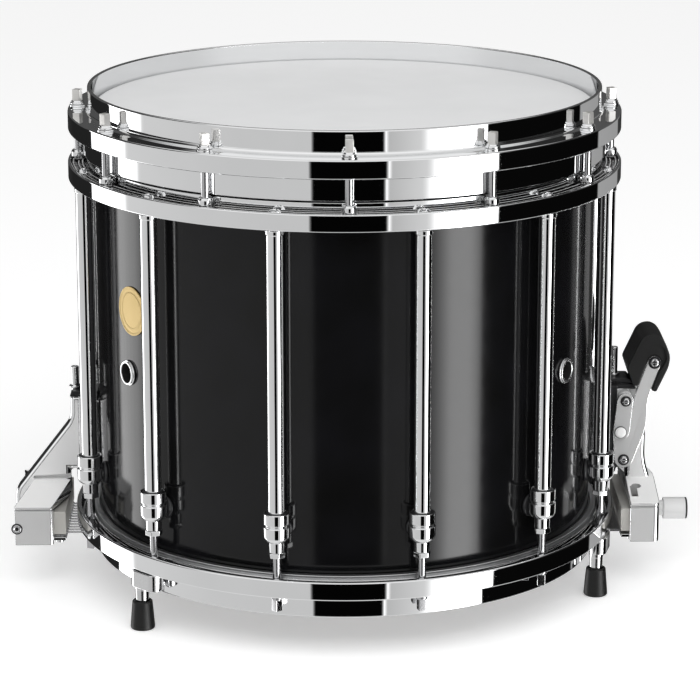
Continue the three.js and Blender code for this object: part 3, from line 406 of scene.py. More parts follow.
# Badge. A thin round plate of gold-coloured brass, pressed with a raised rim and one inner ring
# and bent to the shell, to which it is glued. Its field is left bare.
gold = finish("brushed_gold", (0.62, 0.46, 0.2), (0.55, 0.4, 0.16), (0.42, 0.52), 0.55, 0.6, 0.01)
badge_angle = math.radians(56.2)
badge_low, badge_high = span("badge")
badge_level = (badge_low.z + badge_high.z) / 2
badge_radius = (badge_high.z - badge_low.z) / 2
disc = turned([
    (0, 0.3), (badge_radius, 0.3, 0.1), (badge_radius, 1.05, 0.3), (badge_radius - 1.2, 1.05, 0.3),
    (badge_radius - 1.8, 0.75, 0.2), (badge_radius - 4, 0.75, 0.2), (badge_radius - 4.3, 1, 0.1),
    (badge_radius - 5, 1, 0.1), (badge_radius - 5.3, 0.75, 0.2), (0, 0.85)], 96)
for vert in disc.verts:
    across, up, out = vert.co
    around = across / shell_radius - badge_angle
    reach = shell_radius + out
    vert.co = (reach * math.sin(around), -reach * math.cos(around), badge_level + up)
piece("plain_badge", disc, gold, stands_for=["badge"])

# Heads. The batter head is a thick white film with a matt coating, the snare head a clear thin
# one. Each is clamped in an aluminium flesh hoop and folds down over the shell's bearing edge.
coated = finish("coated_film", (0.88, 0.885, 0.89), (0.85, 0.855, 0.86), (0.42, 0.55), 0, 0.5, 0.01)
film_thickness = 0.5
fold = 3.2
film_steps = 192


def film(name, material, towards):
    """A head whose playing face looks up or down, with its collar turned the other way."""
    low, high = span(name)
    level, end = (high.z, low.z) if towards > 0 else (low.z, high.z)
    radius = high.x
    under = level - towards * film_thickness
    skin = turned([
        (0, level), (radius - 0.6, level, fold), (radius, end), (radius - film_thickness, end),
        (radius - film_thickness, under, fold - film_thickness), (0, under)], film_steps)
    return piece(f"{name}_film", skin, material, stands_for=[name])


film("top_head", coated, 1)
clear = blank_material("clear_film")
tree = clear.node_tree
haze = noise(tree, 60)
cloud = colour_stops(tree, haze, [(0.35, (0.88, 0.89, 0.9)), (0.65, (0.95, 0.95, 0.96))])
sheen = ramped(tree, haze, 0.3, 0.7, 0.12, 0.2)
shader = node(tree, "ShaderNodeBsdfPrincipled", cloud, 0.0, sheen, 1.45)
shader.inputs["Transmission Weight"].default_value = 0.85
node(tree, "ShaderNodeOutputMaterial", shader.outputs[0])
film("bottom_head", clear, -1)
satin = finish("satin_aluminium", (0.72, 0.725, 0.73), (0.66, 0.665, 0.67), (0.3, 0.42),
               1, 0.4, 0.01)
flesh_wall = 4.2
for end in ("top", "bottom"):
    low, high = span(f"{end}_flesh_hoop")
    strip = turned([
        (high.x - flesh_wall, low.z, 0.6), (high.x, low.z, 0.6), (high.x, high.z, 0.6),
        (high.x - flesh_wall, high.z, 0.6)], film_steps)
    piece(f"{end}_flesh_band", strip, satin, stands_for=[f"{end}_flesh_hoop"])

# Hoops. Two die-cast hoops, chrome-plated: a thin upright collar that is struck, a flange that the
# rods pull on, a broad outer band and a skirt that keeps the flesh hoop centred.
# Painted highlight: a pale finish for the glints on the ridges. Painted shade: a dark one in the
# grooves.
painted_ridge_highlight = finish("ridge_painted_highlight", (0.92, 0.92, 0.92), (0.84, 0.84, 0.84), (0.24, 0.36), 0.45, 1.2, 0)
painted_groove_shade = finish("groove_painted_shade", (0.07, 0.07, 0.07), (0.045, 0.045, 0.045), (0.18, 0.3),
                  1, 1.2, 0)
rim_round = 0.9
hoop_width = 16.6
collar_wall = 2.7
flange_drop = 16.5
flange_thickness = 4
seat_thickness = 5.2
band_height = 13
band_wall = 3.2
skirt_wall = 1.8
skirt_stand = 10.1
ridge_height = 1.2


def grooved(bm, inner, outer, floor, towards):
    """Painted shade on faces about one level between two radii; a painted highlight on ridge tops.
    """
    bmesh.ops.recalc_face_normals(bm, faces=bm.faces)
    for face in bm.faces:
        middle = face.calc_center_median()
        height = (middle.z - floor) * towards
        if inner < middle.xy.length < outer and -0.6 < height < 1.5:
            on_ridge = height > 0.4 and face.normal.z * towards > 0.7
            face.material_index = 2 if on_ridge else 1
    return bm


def hoop_corners(low, high, towards):
    """Section of a hoop whose rim points up or down, from the rim's inner edge to its outer."""
    rim, skirt_end = (high.z, low.z) if towards > 0 else (low.z, high.z - 2)
    flange = rim - towards * flange_drop
    under = flange - towards * flange_thickness
    ridge = under - towards * ridge_height
    seat = flange - towards * seat_thickness
    outer = high.y
    inner = outer - hoop_width
    collar = inner + collar_wall
    skirt = outer - skirt_stand
    band = outer - band_wall
    foot = flange - towards * band_height
    return [
        (inner, rim, rim_round), (inner, seat, 0.3), (skirt - skirt_wall, seat, 0.5),
        (skirt - skirt_wall, skirt_end, 0.5), (skirt, skirt_end, 0.5), (skirt, under, 0.9),
        (skirt + 1.1, under), (skirt + 1.4, ridge, 0.3), (skirt + 2.1, ridge, 0.3),
        (skirt + 2.5, under), (band - 2.3, under), (band - 1.9, ridge, 0.3),
        (band - 1.2, ridge, 0.3), (band - 0.8, under), (band, under, 0.7), (band, foot, 0.5),
        (outer - 0.7, foot, 0.3), (outer, foot + towards * 0.7, 0.3), (outer, flange, 1.1),
        (collar + 1, flange, 0.9), (collar, flange + towards * 1.4, 1), (collar, rim, rim_round)]


hoop_low, hoop_high = span("top_hoop")
hoop_radius = hoop_high.y
top_flange = hoop_high.z - flange_drop
piece("struck_hoop", turned(hoop_corners(hoop_low, hoop_high, 1)), chrome,
      stands_for=["top_hoop"])
low, high = span("bottom_hoop")
bottom_flange = low.z + flange_drop
# The channel's grooves get painted shade and its ridge tops a painted highlight.
channel = grooved(turned(hoop_corners(low, high, -1)), hoop_radius - skirt_stand,
                  hoop_radius - band_wall, bottom_flange + flange_thickness, 1)
lower_hoop = piece("snare_side_hoop", channel, [chrome, painted_groove_shade, painted_ridge_highlight],
                   stands_for=["bottom_hoop"])
gate_half_width = 41
gate_depth = 12
for side in (-1, 1):
    gate = bmesh.new()
    bmesh.ops.create_cube(gate, size=1)
    moved(gate, shift(side * (hoop_radius - 15), 0, bottom_flange - flange_drop)
          @ Matrix.Diagonal((gate_depth, 2 * gate_half_width, 2 * flange_drop, 1)))
    rims = [edge for edge in gate.edges if abs((edge.verts[0].co - edge.verts[1].co).x) > 1]
    bored(lower_hoop, rounded(gate, rims, 3, 4))

# Upper ring. A die-cast and plated ring that stands on the tubes and carries the top rods, so that
# the pull of the heads never reaches the shell. Its web is grooved and holds the threaded inserts.
ring_high = span("upper_ring")[1]
ring_radius = ring_high.y
upstand_height = 7.2
web_top = ring_high.z - upstand_height
web_bottom = web_top - 5
upstand_inner = shell_radius + 2.3
upstand_outer = upstand_inner + 3
ring_inner = ring_radius - 2.2
ring_top = web_top + 2
band_bottom = ring_top - 12
section = turned([
    (upstand_inner, web_top + upstand_height, 0.6), (upstand_inner, web_bottom, 0.5),
    (ring_inner, web_bottom, 1), (ring_inner, band_bottom, 0.5),
    (ring_radius - 0.6, band_bottom, 0.3), (ring_radius, band_bottom + 0.6, 0.3),
    (ring_radius, ring_top, 0.9), (ring_inner, ring_top, 0.4), (ring_inner, web_top, 0.4),
    (ring_inner - 0.8, web_top), (ring_inner - 1.2, web_top + 1.3, 0.3),
    (ring_inner - 2, web_top + 1.3, 0.3), (ring_inner - 2.4, web_top + 0.2, 0.3),
    (ring_inner - 4.2, web_top - 0.4, 0.6), (ring_inner - 5, web_top + 0.5, 0.3),
    (ring_inner - 5.8, web_top + 0.5, 0.3), (ring_inner - 6.4, web_top - 0.4, 0.6),
    (upstand_outer + 3.6, web_top - 0.2, 0.5), (upstand_outer + 3.1, web_top + 1.2, 0.3),
    (upstand_outer + 2.2, web_top + 1.2, 0.3), (upstand_outer + 1.7, web_top),
    (upstand_outer, web_top, 0.7), (upstand_outer, web_top + upstand_height, 0.6)])
# The web's grooves get painted shade and its ridge tops a painted highlight.
piece("upper_frame_ring", grooved(section, upstand_outer, ring_inner, web_top, 1),
      [chrome, painted_groove_shade, painted_ridge_highlight], stands_for=["upper_ring"])

# Inserts. Twelve steel bushes with rounded shoulders are screwed through the ring from above, each
# on a black washer, with a nut under the web. The top rods are threaded into them.
points_round = 12
step = 2 * math.pi / points_round
rod_circle = hoop_radius - 6.5
black_coating = finish("black_coating", (0.018, 0.018, 0.02), (0.012, 0.012, 0.013), (0.3, 0.4),
                       0, 0.7, 0.01)
insert_top = ring_high.z
washer_top = web_top + 1.2


def on_circle(angle):
    return Matrix.Rotation(angle, 4, 'Z') @ shift(0, -rod_circle, 0)


def prism(sides, across, low, high, edge=0.4):
    """A bar with flat sides, given across its flats, with its edges broken."""
    bm = bar(across / 2 / math.cos(math.pi / sides), high - low, sides)
    moved(bm, shift(0, 0, (low + high) / 2) @ Matrix.Rotation(math.pi / sides, 4, 'Z'))
    return rounded(bm, bm.edges[:], edge, 2)


washers = []
bushes = []
for i in range(points_round):
    bush = joined(
        turned([(3, insert_top, 0.2), (4.3, insert_top, 0.6), (4.6, insert_top - 1, 0.3),
                (5, insert_top - 1.4, 0.3), (5, web_top + 2.4, 0.5), (4.5, web_top + 2, 0.2),
                (4.5, washer_top), (3, washer_top)], 40),
        prism(6, 9, web_bottom - 4.3, web_bottom))
    bushes.append(moved(bush, on_circle(i * step)))
    washer = turned([
        (3, web_top, 0.1), (5.8, web_top, 0.1), (5.8, washer_top, 0.4), (3, washer_top, 0.1)], 40)
    washers.append(moved(washer, on_circle(i * step)))
piece("rod_bushes", joined(*bushes), chrome)
piece("bush_washers", joined(*washers), black_coating)

# Top tension rods. Steel rods with a square key head, a stepped flange and a loose washer, plated
# and threaded at the lower end, one through each hole of the struck hoop into its bush.
steel = finish("bright_steel", (0.62, 0.62, 0.63), (0.55, 0.55, 0.56), (0.14, 0.22), 1, 0.8, 0.004)
nickel = finish("cast_nickel", (0.86, 0.85, 0.83), (0.6, 0.59, 0.57), (0.3, 0.45), 0.6, 1.1, 0.03)
rod_radius = 2.8
key_across = 5.4
key_edge = 0.45
top_key_turn = 0.65
shank_end = band_bottom + 1
seat = top_flange
for i in range(points_round):
    name = f"top_tension_rod_{i + 1:02d}"
    key = prism(4, key_across, seat + 4.2, span(name)[1].z, key_edge)
    for face in key.faces:
        face.material_index = 1
    head = joined(
        turned([(rod_radius - 0.3, seat, 0.1), (5.5, seat, 0.2), (5.5, seat + 1.5, 0.4),
                (rod_radius - 0.3, seat + 1.5, 0.1)], 40),
        turned([(0, seat + 1.7), (5, seat + 1.7, 0.4), (5, seat + 3, 0.5), (4.3, seat + 3.2, 0.2),
                (4.1, seat + 4.4, 0.4), (0, seat + 4.6)], 40),
        moved(key, Matrix.Rotation(i * top_key_turn, 4, 'Z')))
    piece(f"rod_head_{i + 1:02d}", moved(head, on_circle(i * step)), [chrome, nickel],
          stands_for=[name])
    shank = bar(rod_radius, seat - shank_end)
    moved(shank, on_circle(i * step) @ shift(0, 0, (seat + shank_end) / 2))
    piece(f"rod_shank_{i + 1:02d}", shank, steel)

# Columns. Twelve steel tubes hold the ring up. Each stands in a turned lug that a post fixes to
# the shell, and has a screw down through the ring, a locknut and a bottom rod with its key head.
tube_radius = 5.75
lug_radius = 9.2
lug_top = 102
lug_bottom = 82
lug_waist = (lug_top + lug_bottom) / 2 + 1.2
neck_bottom = 74.5
post_level = 88.2
post_length = rod_circle - shell_radius
hoop_boss = bottom_flange + flange_thickness
bottom_key_turn = 0.8
pads = []
seals = []
for i in range(points_round):
    name = f"tension_column_{i + 1:02d}"
    rod_end = span(name)[0].z
    angle = (i + 0.5) * step
    stand = on_circle(angle)
    tube = turned([
        (0, lug_top - 6), (tube_radius, lug_top - 6), (tube_radius, band_bottom - 3.6, 0.3),
        (tube_radius + 0.7, band_bottom - 3.2, 0.3), (tube_radius + 0.7, band_bottom - 0.4, 0.4),
        (4.2, band_bottom - 0.3), (4.2, web_bottom - 0.1), (0, web_bottom - 0.1)], 64)
    piece(f"tube_{i + 1:02d}", moved(tube, stand), chrome, stands_for=[name])
    lug = turned([
        (tube_radius - 0.2, lug_top - 1.4, 0.2), (tube_radius + 1.2, lug_top - 1, 0.3),
        (lug_radius - 1.4, lug_top, 0.3), (lug_radius - 0.2, lug_top, 0.5),
        (lug_radius - 0.2, lug_waist + 1.2, 0.5), (lug_radius - 1.3, lug_waist + 0.9, 0.2),
        (lug_radius - 1.3, lug_waist, 0.2), (lug_radius + 0.1, lug_waist - 0.6, 0.5),
        (lug_radius - 0.1, lug_bottom + 2.2, 1.8), (lug_radius - 2.2, lug_bottom, 0.8),
        (5.6, lug_bottom - 0.2, 0.4), (5.4, neck_bottom, 0.4), (0, neck_bottom)], 64)
    nut = prism(6, 10.5, neck_bottom - 3.7, neck_bottom - 0.1, 0.5)
    post = turned([(0, -1), (4.2, -1), (4.2, post_length - 2, 0.6), (0, post_length)], 32)
    moved(post, shift(0, 0, post_level) @ quarter('X', -1))
    piece(f"lug_{i + 1:02d}", moved(joined(lug, nut, post), stand), chrome)
    pad = turned([(0, 0), (8, 0, 0.3), (8, 1.8, 0.9), (5.4, 2.6, 0.4), (0, 2.7)], 48)
    pads.append(moved(pad, facing(angle, post_level, shell_radius + 0.1)))
    head_seat = rod_end + 10.3
    flange = turned([
        (0, neck_bottom - 1), (rod_radius, neck_bottom - 1), (rod_radius, head_seat),
        (4.6, head_seat, 0.3), (4.6, head_seat - 1.1, 0.3), (4, head_seat - 1.5, 0.2),
        (3.9, head_seat - 2.3, 0.3), (0, head_seat - 2.3)], 32)
    key = prism(4, key_across, rod_end, head_seat - 2.1, key_edge)
    moved(key, Matrix.Rotation(i * bottom_key_turn, 4, 'Z'))
    piece(f"bottom_rod_{i + 1:02d}", moved(joined(flange, key), stand), steel)
    seals.append(moved(turned([
        (rod_radius, hoop_boss, 0.1), (4.9, hoop_boss, 0.1), (4.9, hoop_boss + 1.2, 0.4),
        (3.6, hoop_boss + 2.2, 0.4), (rod_radius, hoop_boss + 2.2, 0.1)], 32), stand))
    seals.append(moved(turned([
        (tube_radius, lug_top - 0.8, 0.1), (tube_radius + 1.6, lug_top - 0.8, 0.3),
        (tube_radius + 1.2, lug_top + 0.2, 0.4), (tube_radius, lug_top + 0.4, 0.1)], 48), stand))
    cap = turned([
        (0, web_top + 1.1), (1.5, web_top + 1.1, 0.2), (1.9, web_top + 3.1, 0.3),
        (3.2, web_top + 2.5, 0.8), (4.5, web_top + 0.7, 0.4), (4.5, web_top + 0.1, 0.1),
        (0, web_top + 0.1)], 40)
    piece(f"ring_screw_{i + 1:02d}", moved(cap, stand), chrome)
piece("lug_pads", joined(*pads), black_coating)
piece("column_seals", joined(*seals), black_coating)

# Feet. Three small castings hang under the bottom hoop on the rods, each with a leg that ends in a
# pushed-on tip of black rubber, so that the drum can stand on a table or the floor.
casting = finish("polished_casting", (0.8, 0.8, 0.805), (0.74, 0.74, 0.745), (0.1, 0.17),
                 1, 0.8, 0.01)
rubber = finish("black_rubber", (0.007, 0.007, 0.007), (0.005, 0.005, 0.005), (0.4, 0.55),
                0, 0.5, 0.03, 1.42)


def filled(corners):
    """A single flat face in the XZ plane through (out, up, rounding) corners."""
    bm = outline(corners)
    bmesh.ops.contextual_create(bm, geom=bm.edges[:])
    return bm


def thickened(bm, start, offset):
    """Gives a flat face the thickness of an offset, and moves the whole by a start."""
    lifted = bmesh.ops.extrude_face_region(bm, geom=bm.faces[:])["geom"]
    raised = [element for element in lifted if isinstance(element, bmesh.types.BMVert)]
    bmesh.ops.translate(bm, vec=offset, verts=raised)
    bmesh.ops.translate(bm, vec=start, verts=bm.verts)
    return bm


def softened(bm, size, segments=2, least=50):
    """Turns the faces outwards and rounds the edges that bend by more than an angle in degrees."""
    bmesh.ops.recalc_face_normals(bm, faces=bm.faces)
    rims = [edge for edge in bm.edges if edge.calc_face_angle(0) > math.radians(least)]
    return rounded(bm, rims, size, segments) if size else bm


def plate(corners, near, far, edge, segments=2):
    """A plate with its outline in the XZ plane, between two depths along Y, its edges broken."""
    bm = thickened(filled(corners), (0, near, 0), (0, far - near, 0))
    return softened(bm, edge, segments)


foot_count = 3
first_foot = -45
foot_offset = 13
bracket_height = 12
bracket_half = 6.4
bracket_shift = -1
tip_sleeve = 5.2
for i in range(foot_count):
    place = on_circle(math.radians(first_foot + 360 / foot_count * i))
    low, high = span(f"foot_bracket_{i + 1}")
    block_low = high.z - bracket_height
    near, far = bracket_shift - bracket_half, bracket_shift + bracket_half
    bracket = plate([
        (bracket_half, near, 5.6), (bracket_half, far, 5.6),
        (-foot_offset - bracket_half, far, 6.2), (-foot_offset - bracket_half, near, 6.2)],
        -high.z, -block_low, 0.8)
    moved(bracket, quarter('X', -1))
    leg = turned([
        (0, block_low + 1), (5.2, block_low + 1), (5.2, block_low - 2, 0.6),
        (4.9, block_low - 3, 0.4), (4.2, low.z + 4, 0.4), (4, low.z), (0, low.z)], 40)
    moved(leg, shift(-foot_offset, 0, 0))
    piece(f"foot_casting_{i + 1}", moved(joined(bracket, leg), place), casting,
          stands_for=[f"foot_bracket_{i + 1}"])
    low, high = span(f"foot_tip_{i + 1}")
    tip = turned([
        (0, low.z + 1), (5.2, low.z + 1, 0.6), (5.6, low.z, 0.3), (8.6, low.z, 1.6),
        (8, low.z + 8, 3), (6.9, high.z, 1.2), (5.3, high.z, 0.5), (tip_sleeve, high.z - 6),
        (0, high.z - 14)], 56)
    moved(tip, shift(-foot_offset, 0, 0))
    piece(f"rubber_foot_{i + 1}", moved(tip, place), rubber,
          stands_for=[f"foot_tip_{i + 1}"])

# Snares. Twelve coated steel cables lie side by side under the snare head, soldered at both ends
# into flat bars that the clamps grip.
cable = finish("snare_cable", (0.5, 0.5, 0.51), (0.4, 0.4, 0.41), (0.22, 0.35), 1, 0.8, 0.02)
snares_low, snares_high = span("snare_strands")
cable_count = 12
cable_radius = 0.75
snare_half = 36
pitch = 2 * snare_half / cable_count
snare_level = (snares_low.z + snares_high.z) / 2
end_bar_length = 7
end_bar_half = 0.8
cable_length = snares_high.x - snares_low.x - end_bar_length
cables = []
for i in range(cable_count):
    middle = shift((snares_low.x + snares_high.x) / 2, (i + 0.5) * pitch - snare_half, snare_level)
    cables.append(moved(bar(cable_radius, cable_length, 10), middle @ quarter('Y')))
for start in (snares_low.x, snares_high.x - end_bar_length):
    stop = start + end_bar_length
    under, over = snare_level - end_bar_half, snare_level + end_bar_half
    cables.append(plate([(start, under), (stop, under), (stop, over), (start, over)],
                        -snare_half, snare_half, 0.2))
piece("snare_cables", joined(*cables), cable, "snare_strands", ["snare_strands"])

# Strainer bases. A casting is screwed to the shell on each side, with two lips that hold the plate
# of the throw-off on the right and of the butt on the left.
base_out = shell_radius + 6
lip_out = shell_radius + 12
lip_in = shell_radius + 9.3
plate_half = 17
base_half = 21
across_drum = {"throw": Matrix.Identity(4), "butt": Matrix.Rotation(math.pi, 4, 'Z')}


def block(low, high, edge):
    """A box between two corners with its edges broken."""
    bm = bmesh.new()
    bmesh.ops.create_cube(bm, size=1)
    low, high = Vector(low), Vector(high)
    moved(bm, Matrix.Translation((low + high) / 2) @ Matrix.Diagonal((*(high - low), 1)))
    return rounded(bm, bm.edges[:], edge, 3)


def both_sides(inner, outer):
    """The two ranges along Y between these distances from the middle, the front one first."""
    return (-outer, -inner), (inner, outer)


for name, turn in across_drum.items():
    low, high = span(f"{name}_base")
    parts = [block((shell_radius - 1.2, -base_half, low.z), (base_out, base_half, high.z), 1)]
    for wall, lip in zip(both_sides(plate_half + 0.3, base_half),
                         both_sides(plate_half - 2.1, base_half)):
        parts.append(block((base_out - 1, wall[0], low.z), (lip_out, wall[1], high.z), 0.8))
        parts.append(block((lip_in, lip[0], low.z), (lip_out, lip[1], high.z), 0.8))
    piece(f"{name}_base_casting", moved(joined(*parts), turn), casting,
          stands_for=[f"{name}_base"])

# Height screws and their caps. A black coated cap closes the top of each base; a plated screw
# stands up through it, with a collar, and raises or lowers the strainer.
channel_half = 10.6
cap_in = shell_radius + 0.6
screw_out = shell_radius + 17.4
for name, turn in across_drum.items():
    low, high = span(f"{name}_cap")
    cap_out, drop, slope = (high.x, 5, high.z - low.z) if name == "throw" else (-low.x, 0, 2)
    bottom, top = low.z - drop, high.z - drop
    cap = plate([(cap_in, bottom), (cap_out + drop, bottom, 0.4),
                 (cap_out + drop - slope, top, 0.8), (cap_in, top, 0.6)],
                -channel_half, channel_half, 0.5)
    piece(f"{name}_top_cap", moved(cap, turn), black_coating,
          stands_for=[f"{name}_cap"])
    low, high = span(f"{name}_height_screw")
    screw = turned([
        (0, low.z, 0.1), (2.8, low.z, 0.4), (2.8, top + 0.3), (4.5, top + 0.3, 0.3),
        (4.5, top + 1.9, 0.5), (2.8, top + 1.9), (2.8, high.z, 0.6), (1.3, high.z, 0.2),
        (1.3, high.z - 2), (0, high.z - 2)], 40)
    moved(screw, turn @ shift(screw_out, 0, 0))
    piece(f"{name}_lift_screw", screw, chrome, f"{name}_height_screw",
          [f"{name}_height_screw"])

# Throw-off slide. A black coated channel runs up and down in the base; its two ears take the pivot
# of the lever, and its bridge, which slopes outwards under the cap, the height screw.
low, high = span("throw_slide")
ear_near = channel_half + 0.4
ear_far = ear_near + 3.2
pivot_out, pivot_up = 200.2, 86.7
rivet_out, rivet_up = 197.3, 108.1
link_out, link_up = 200.6, 131.2
ear_round = 6.4
ear_in = shell_radius + 8
plate_in = shell_radius + 6.3
plate_out = shell_radius + 9
channel_out = shell_radius + 19
channel_top = high.z - 5.1
bridge_low = channel_top - 3.4
sides = [block((plate_in, -plate_half, low.z), (plate_out, plate_half, channel_top), 0.5),
         plate([(plate_in, bridge_low, 0.4), (channel_out + 14, bridge_low, 0.5),
                (channel_out + 11.2, channel_top, 0.5), (plate_in, channel_top, 0.4)],
               -channel_half, channel_half, 0.6)]
for near, far in both_sides(ear_near, ear_far):
    sides.append(plate([
        (ear_in, low.z, 0.5), (channel_out, low.z, 2), (channel_out, pivot_up - ear_round, 2),
        (pivot_out + ear_round, pivot_up - ear_round, 5),
        (pivot_out + ear_round, pivot_up + ear_round, 5),
        (channel_out, pivot_up + ear_round + 1, 4), (channel_out, channel_top, 0.5),
        (ear_in, channel_top, 0.5)], near, far, 0.5))
piece("slide_channel", joined(*sides), black_coating, "throw_slide",
      ["throw_slide"])

# Throw-off carriage. One casting: a column between the ears, the slotted boss of the links, a thin
# web that sweeps outwards and the box over the snare clamp. Edges are polished; the faces carry
# painted light: a lighter copy of the casting colour on the web, a darker one on the box, and
# near white on the faces that look up.
# Painted light and shade: a darker copy of the casting colour for the box, a lighter one for the
# web.
casting_painted_shade = finish("casting_painted_shade", (0.57, 0.57, 0.57), (0.54, 0.54, 0.54), (0.42, 0.5),
                       0.22, 0.5, 0.01)
casting_painted_light = finish("casting_painted_light", (0.86, 0.86, 0.86), (0.82, 0.82, 0.82), (0.42, 0.5),
                         0.22, 0.5, 0.01)
# Near-white painted light for the upward faces lit from above; the plain rivet heads use it too.
pale_rivet_and_painted_roof_light = finish("pale_rivet_and_roof_painted_light", (1, 1, 0.995), (0.98, 0.98, 0.975), (0.5, 0.58),
                        0, 0.5, 0.01)
painted_light_finishes = [casting_painted_light, chrome, pale_rivet_and_painted_roof_light]
painted_shade_finishes = [casting_painted_shade, chrome, pale_rivet_and_painted_roof_light]
broad_area = 500
roof_area = 100


def paint_light_by_facing(bm):
    """Broad faces get the first finish, edges the second, large upward faces painted light."""
    bmesh.ops.recalc_face_normals(bm, faces=bm.faces)
    for face in bm.faces:
        broad = abs(face.normal.y) > 0.995 or face.calc_area() > broad_area
        face.material_index = 0 if broad else 1
        if face.normal.z > 0.9 and face.calc_area() > roof_area:
            face.material_index = 2
    return bm


box_low = 33.5
box_eaves = 62
box_ridge = 70
box_half = 45
box_wall = 3
box_room_top = 59
lid_low = box_eaves - 2.6
seam = 0.5
web_half = 5.5
web_round = 3.2
throw_box_in = hoop_radius + 9.3
throw_box_out = throw_box_in + 21
foot_out = hoop_radius + 33.3
carriage_low = 78.5
column_in = shell_radius + 9.4
web_in = shell_radius + 12.4


def roofed_box(front_half):
    """A box over the snares from half its plan: walls, and a lid that falls to front and back."""
    back_half = [(out, -across, rounding) for out, across, rounding in reversed(front_half)]
    walls = moved(filled(front_half + back_half), quarter('X', -1))
    lid = walls.copy()
    thickened(walls, (0, 0, box_low), (0, 0, lid_low - box_low))
    thickened(lid, (0, 0, lid_low + seam), (0, 0, box_ridge - (lid_low + seam)))
    for side in (-1, 1):
        slope = Vector((0, side * (box_ridge - box_eaves), box_half - web_half)).normalized()
        cut = bmesh.ops.bisect_plane(
            lid, geom=lid.verts[:] + lid.edges[:] + lid.faces[:], dist=weld_distance,
            plane_co=(0, side * web_half, box_ridge), plane_no=slope, clear_outer=True)["geom_cut"]
        rim = [element for element in cut if isinstance(element, bmesh.types.BMEdge)]
        bmesh.ops.contextual_create(lid, geom=rim)
    return joined(softened(walls, 0.5, least=30), softened(lid, 0.5, least=30))


def hollowed(casing, box_in, box_out, turn):
    """Opens a box from below and on the drum's side, for the clamp and the ends of the snares."""
    room_half = box_half - box_wall
    room = block((box_in - 3, -room_half, box_low - 2),
                 (box_out - box_wall, room_half, box_room_top), 0.3)
    return bored(casing, moved(room, turn))


def pin(radius, length, out, up, steps=32):
    """A round pin across the drum, centred on the middle plane."""
    return moved(bar(radius, length, steps), shift(out, 0, up) @ quarter('X'))


column = plate([
    (column_in, carriage_low, 1), (throw_box_in, carriage_low, 1), (throw_box_in + 3, link_up, 3),
    (link_out + 4, link_up + ear_round + 0.4, 3.4), (link_out - 6, link_up + ear_round + 0.4, 3.4),
    (column_in, link_up, 1)], -channel_half, channel_half, 0.7)
web = plate([
    (web_in, carriage_low, web_round), (throw_box_in, carriage_low),
    (throw_box_in, box_eaves - 3, web_round), (hoop_radius + 21.3, box_eaves - 3),
    (hoop_radius + 21.3, box_low, web_round), (foot_out, box_low, web_round), (foot_out, 52, 5),
    (hoop_radius + 26.3, 72, 5), (hoop_radius + 23.3, 83, 5), (hoop_radius + 23.3, 112, web_round),
    (hoop_radius + 13.5, link_up, web_round), (web_in, link_up, web_round)],
    -web_half, web_half, 3, 4)
boss = pin(4.6, 2 * ear_far + 7, link_out, link_up + 1.9, 40)
piece("carriage_casting", joined(paint_light_by_facing(column), paint_light_by_facing(web), boss), painted_light_finishes,
      "throw_carriage", ["throw_carriage"])
box = paint_light_by_facing(roofed_box([(throw_box_in, -box_half, 0.7), (throw_box_out, -box_half, 4)]))
casing = piece("throw_snare_box", box, painted_shade_finishes, "throw_carriage")
hollowed(casing, throw_box_in, throw_box_out, across_drum["throw"])
keyhole_middle = -19
bored(casing, moved(bar(3.5, 20, 24), shift(throw_box_in + 6.6, keyhole_middle, box_eaves)))
bored(casing, block((throw_box_in + 2, -34, box_eaves - 8),
                    (throw_box_in + 6.8, keyhole_middle, box_eaves + 12), 0.2))

# Lever and links. Two flat cheeks turn on the slide's ears; a link on each side pulls the carriage
# down as the lever swings out. All are stamped from plate, with polished edges.
cheek_near = ear_far + 0.4
cheek_far = cheek_near + 3.2
lever_corners = [
    (-6.4, -6.4, 6.2), (4.6, -6.4, 5), (15.8, 24.3, 7), (16.1, 45.8, 7), (26.7, 75.2, 4.6),
    (17.7, 78.4, 4.6), (6.7, 47.9, 5), (3.4, 27.8, 2), (-8.8, 27.2, 5.6)]
grip_screw_out = pivot_out + 20.6
grip_screw_up = pivot_up + 72.3
cheeks = []
# Cheeks and links take the darker painted-shade casting colour, with painted light on top faces.
for near, far in both_sides(cheek_near, cheek_far):
    corners = [(pivot_out + out, pivot_up + up, rounding) for out, up, rounding in lever_corners]
    cheeks.append(paint_light_by_facing(plate(corners, near, far, 0.6)))
bridge = pin(2.4, 2 * cheek_near + 1, grip_screw_out, grip_screw_up)
pivot = pin(2, 2 * cheek_far, pivot_out, pivot_up)
piece("lever_cheeks", joined(*cheeks, bridge, pivot), painted_shade_finishes, "throw_lever",
      ["throw_lever"])
link_near = cheek_far + 0.4
link_far = link_near + 2.5
link_half = 5.8
for name, (near, far) in zip(("front", "back"), both_sides(link_near, link_far)):
    strap = plate([
        (rivet_out - link_half, rivet_up - link_half, 5.6),
        (rivet_out + link_half, rivet_up - link_half, 5.6),
        (link_out + link_half, link_up + link_half, 5.6),
        (link_out - link_half, link_up + link_half, 5.6)], near, far, 0.4)
    piece(f"link_plate_{name}", paint_light_by_facing(strap), painted_shade_finishes, "throw_links",
          [f"link_{name}"])

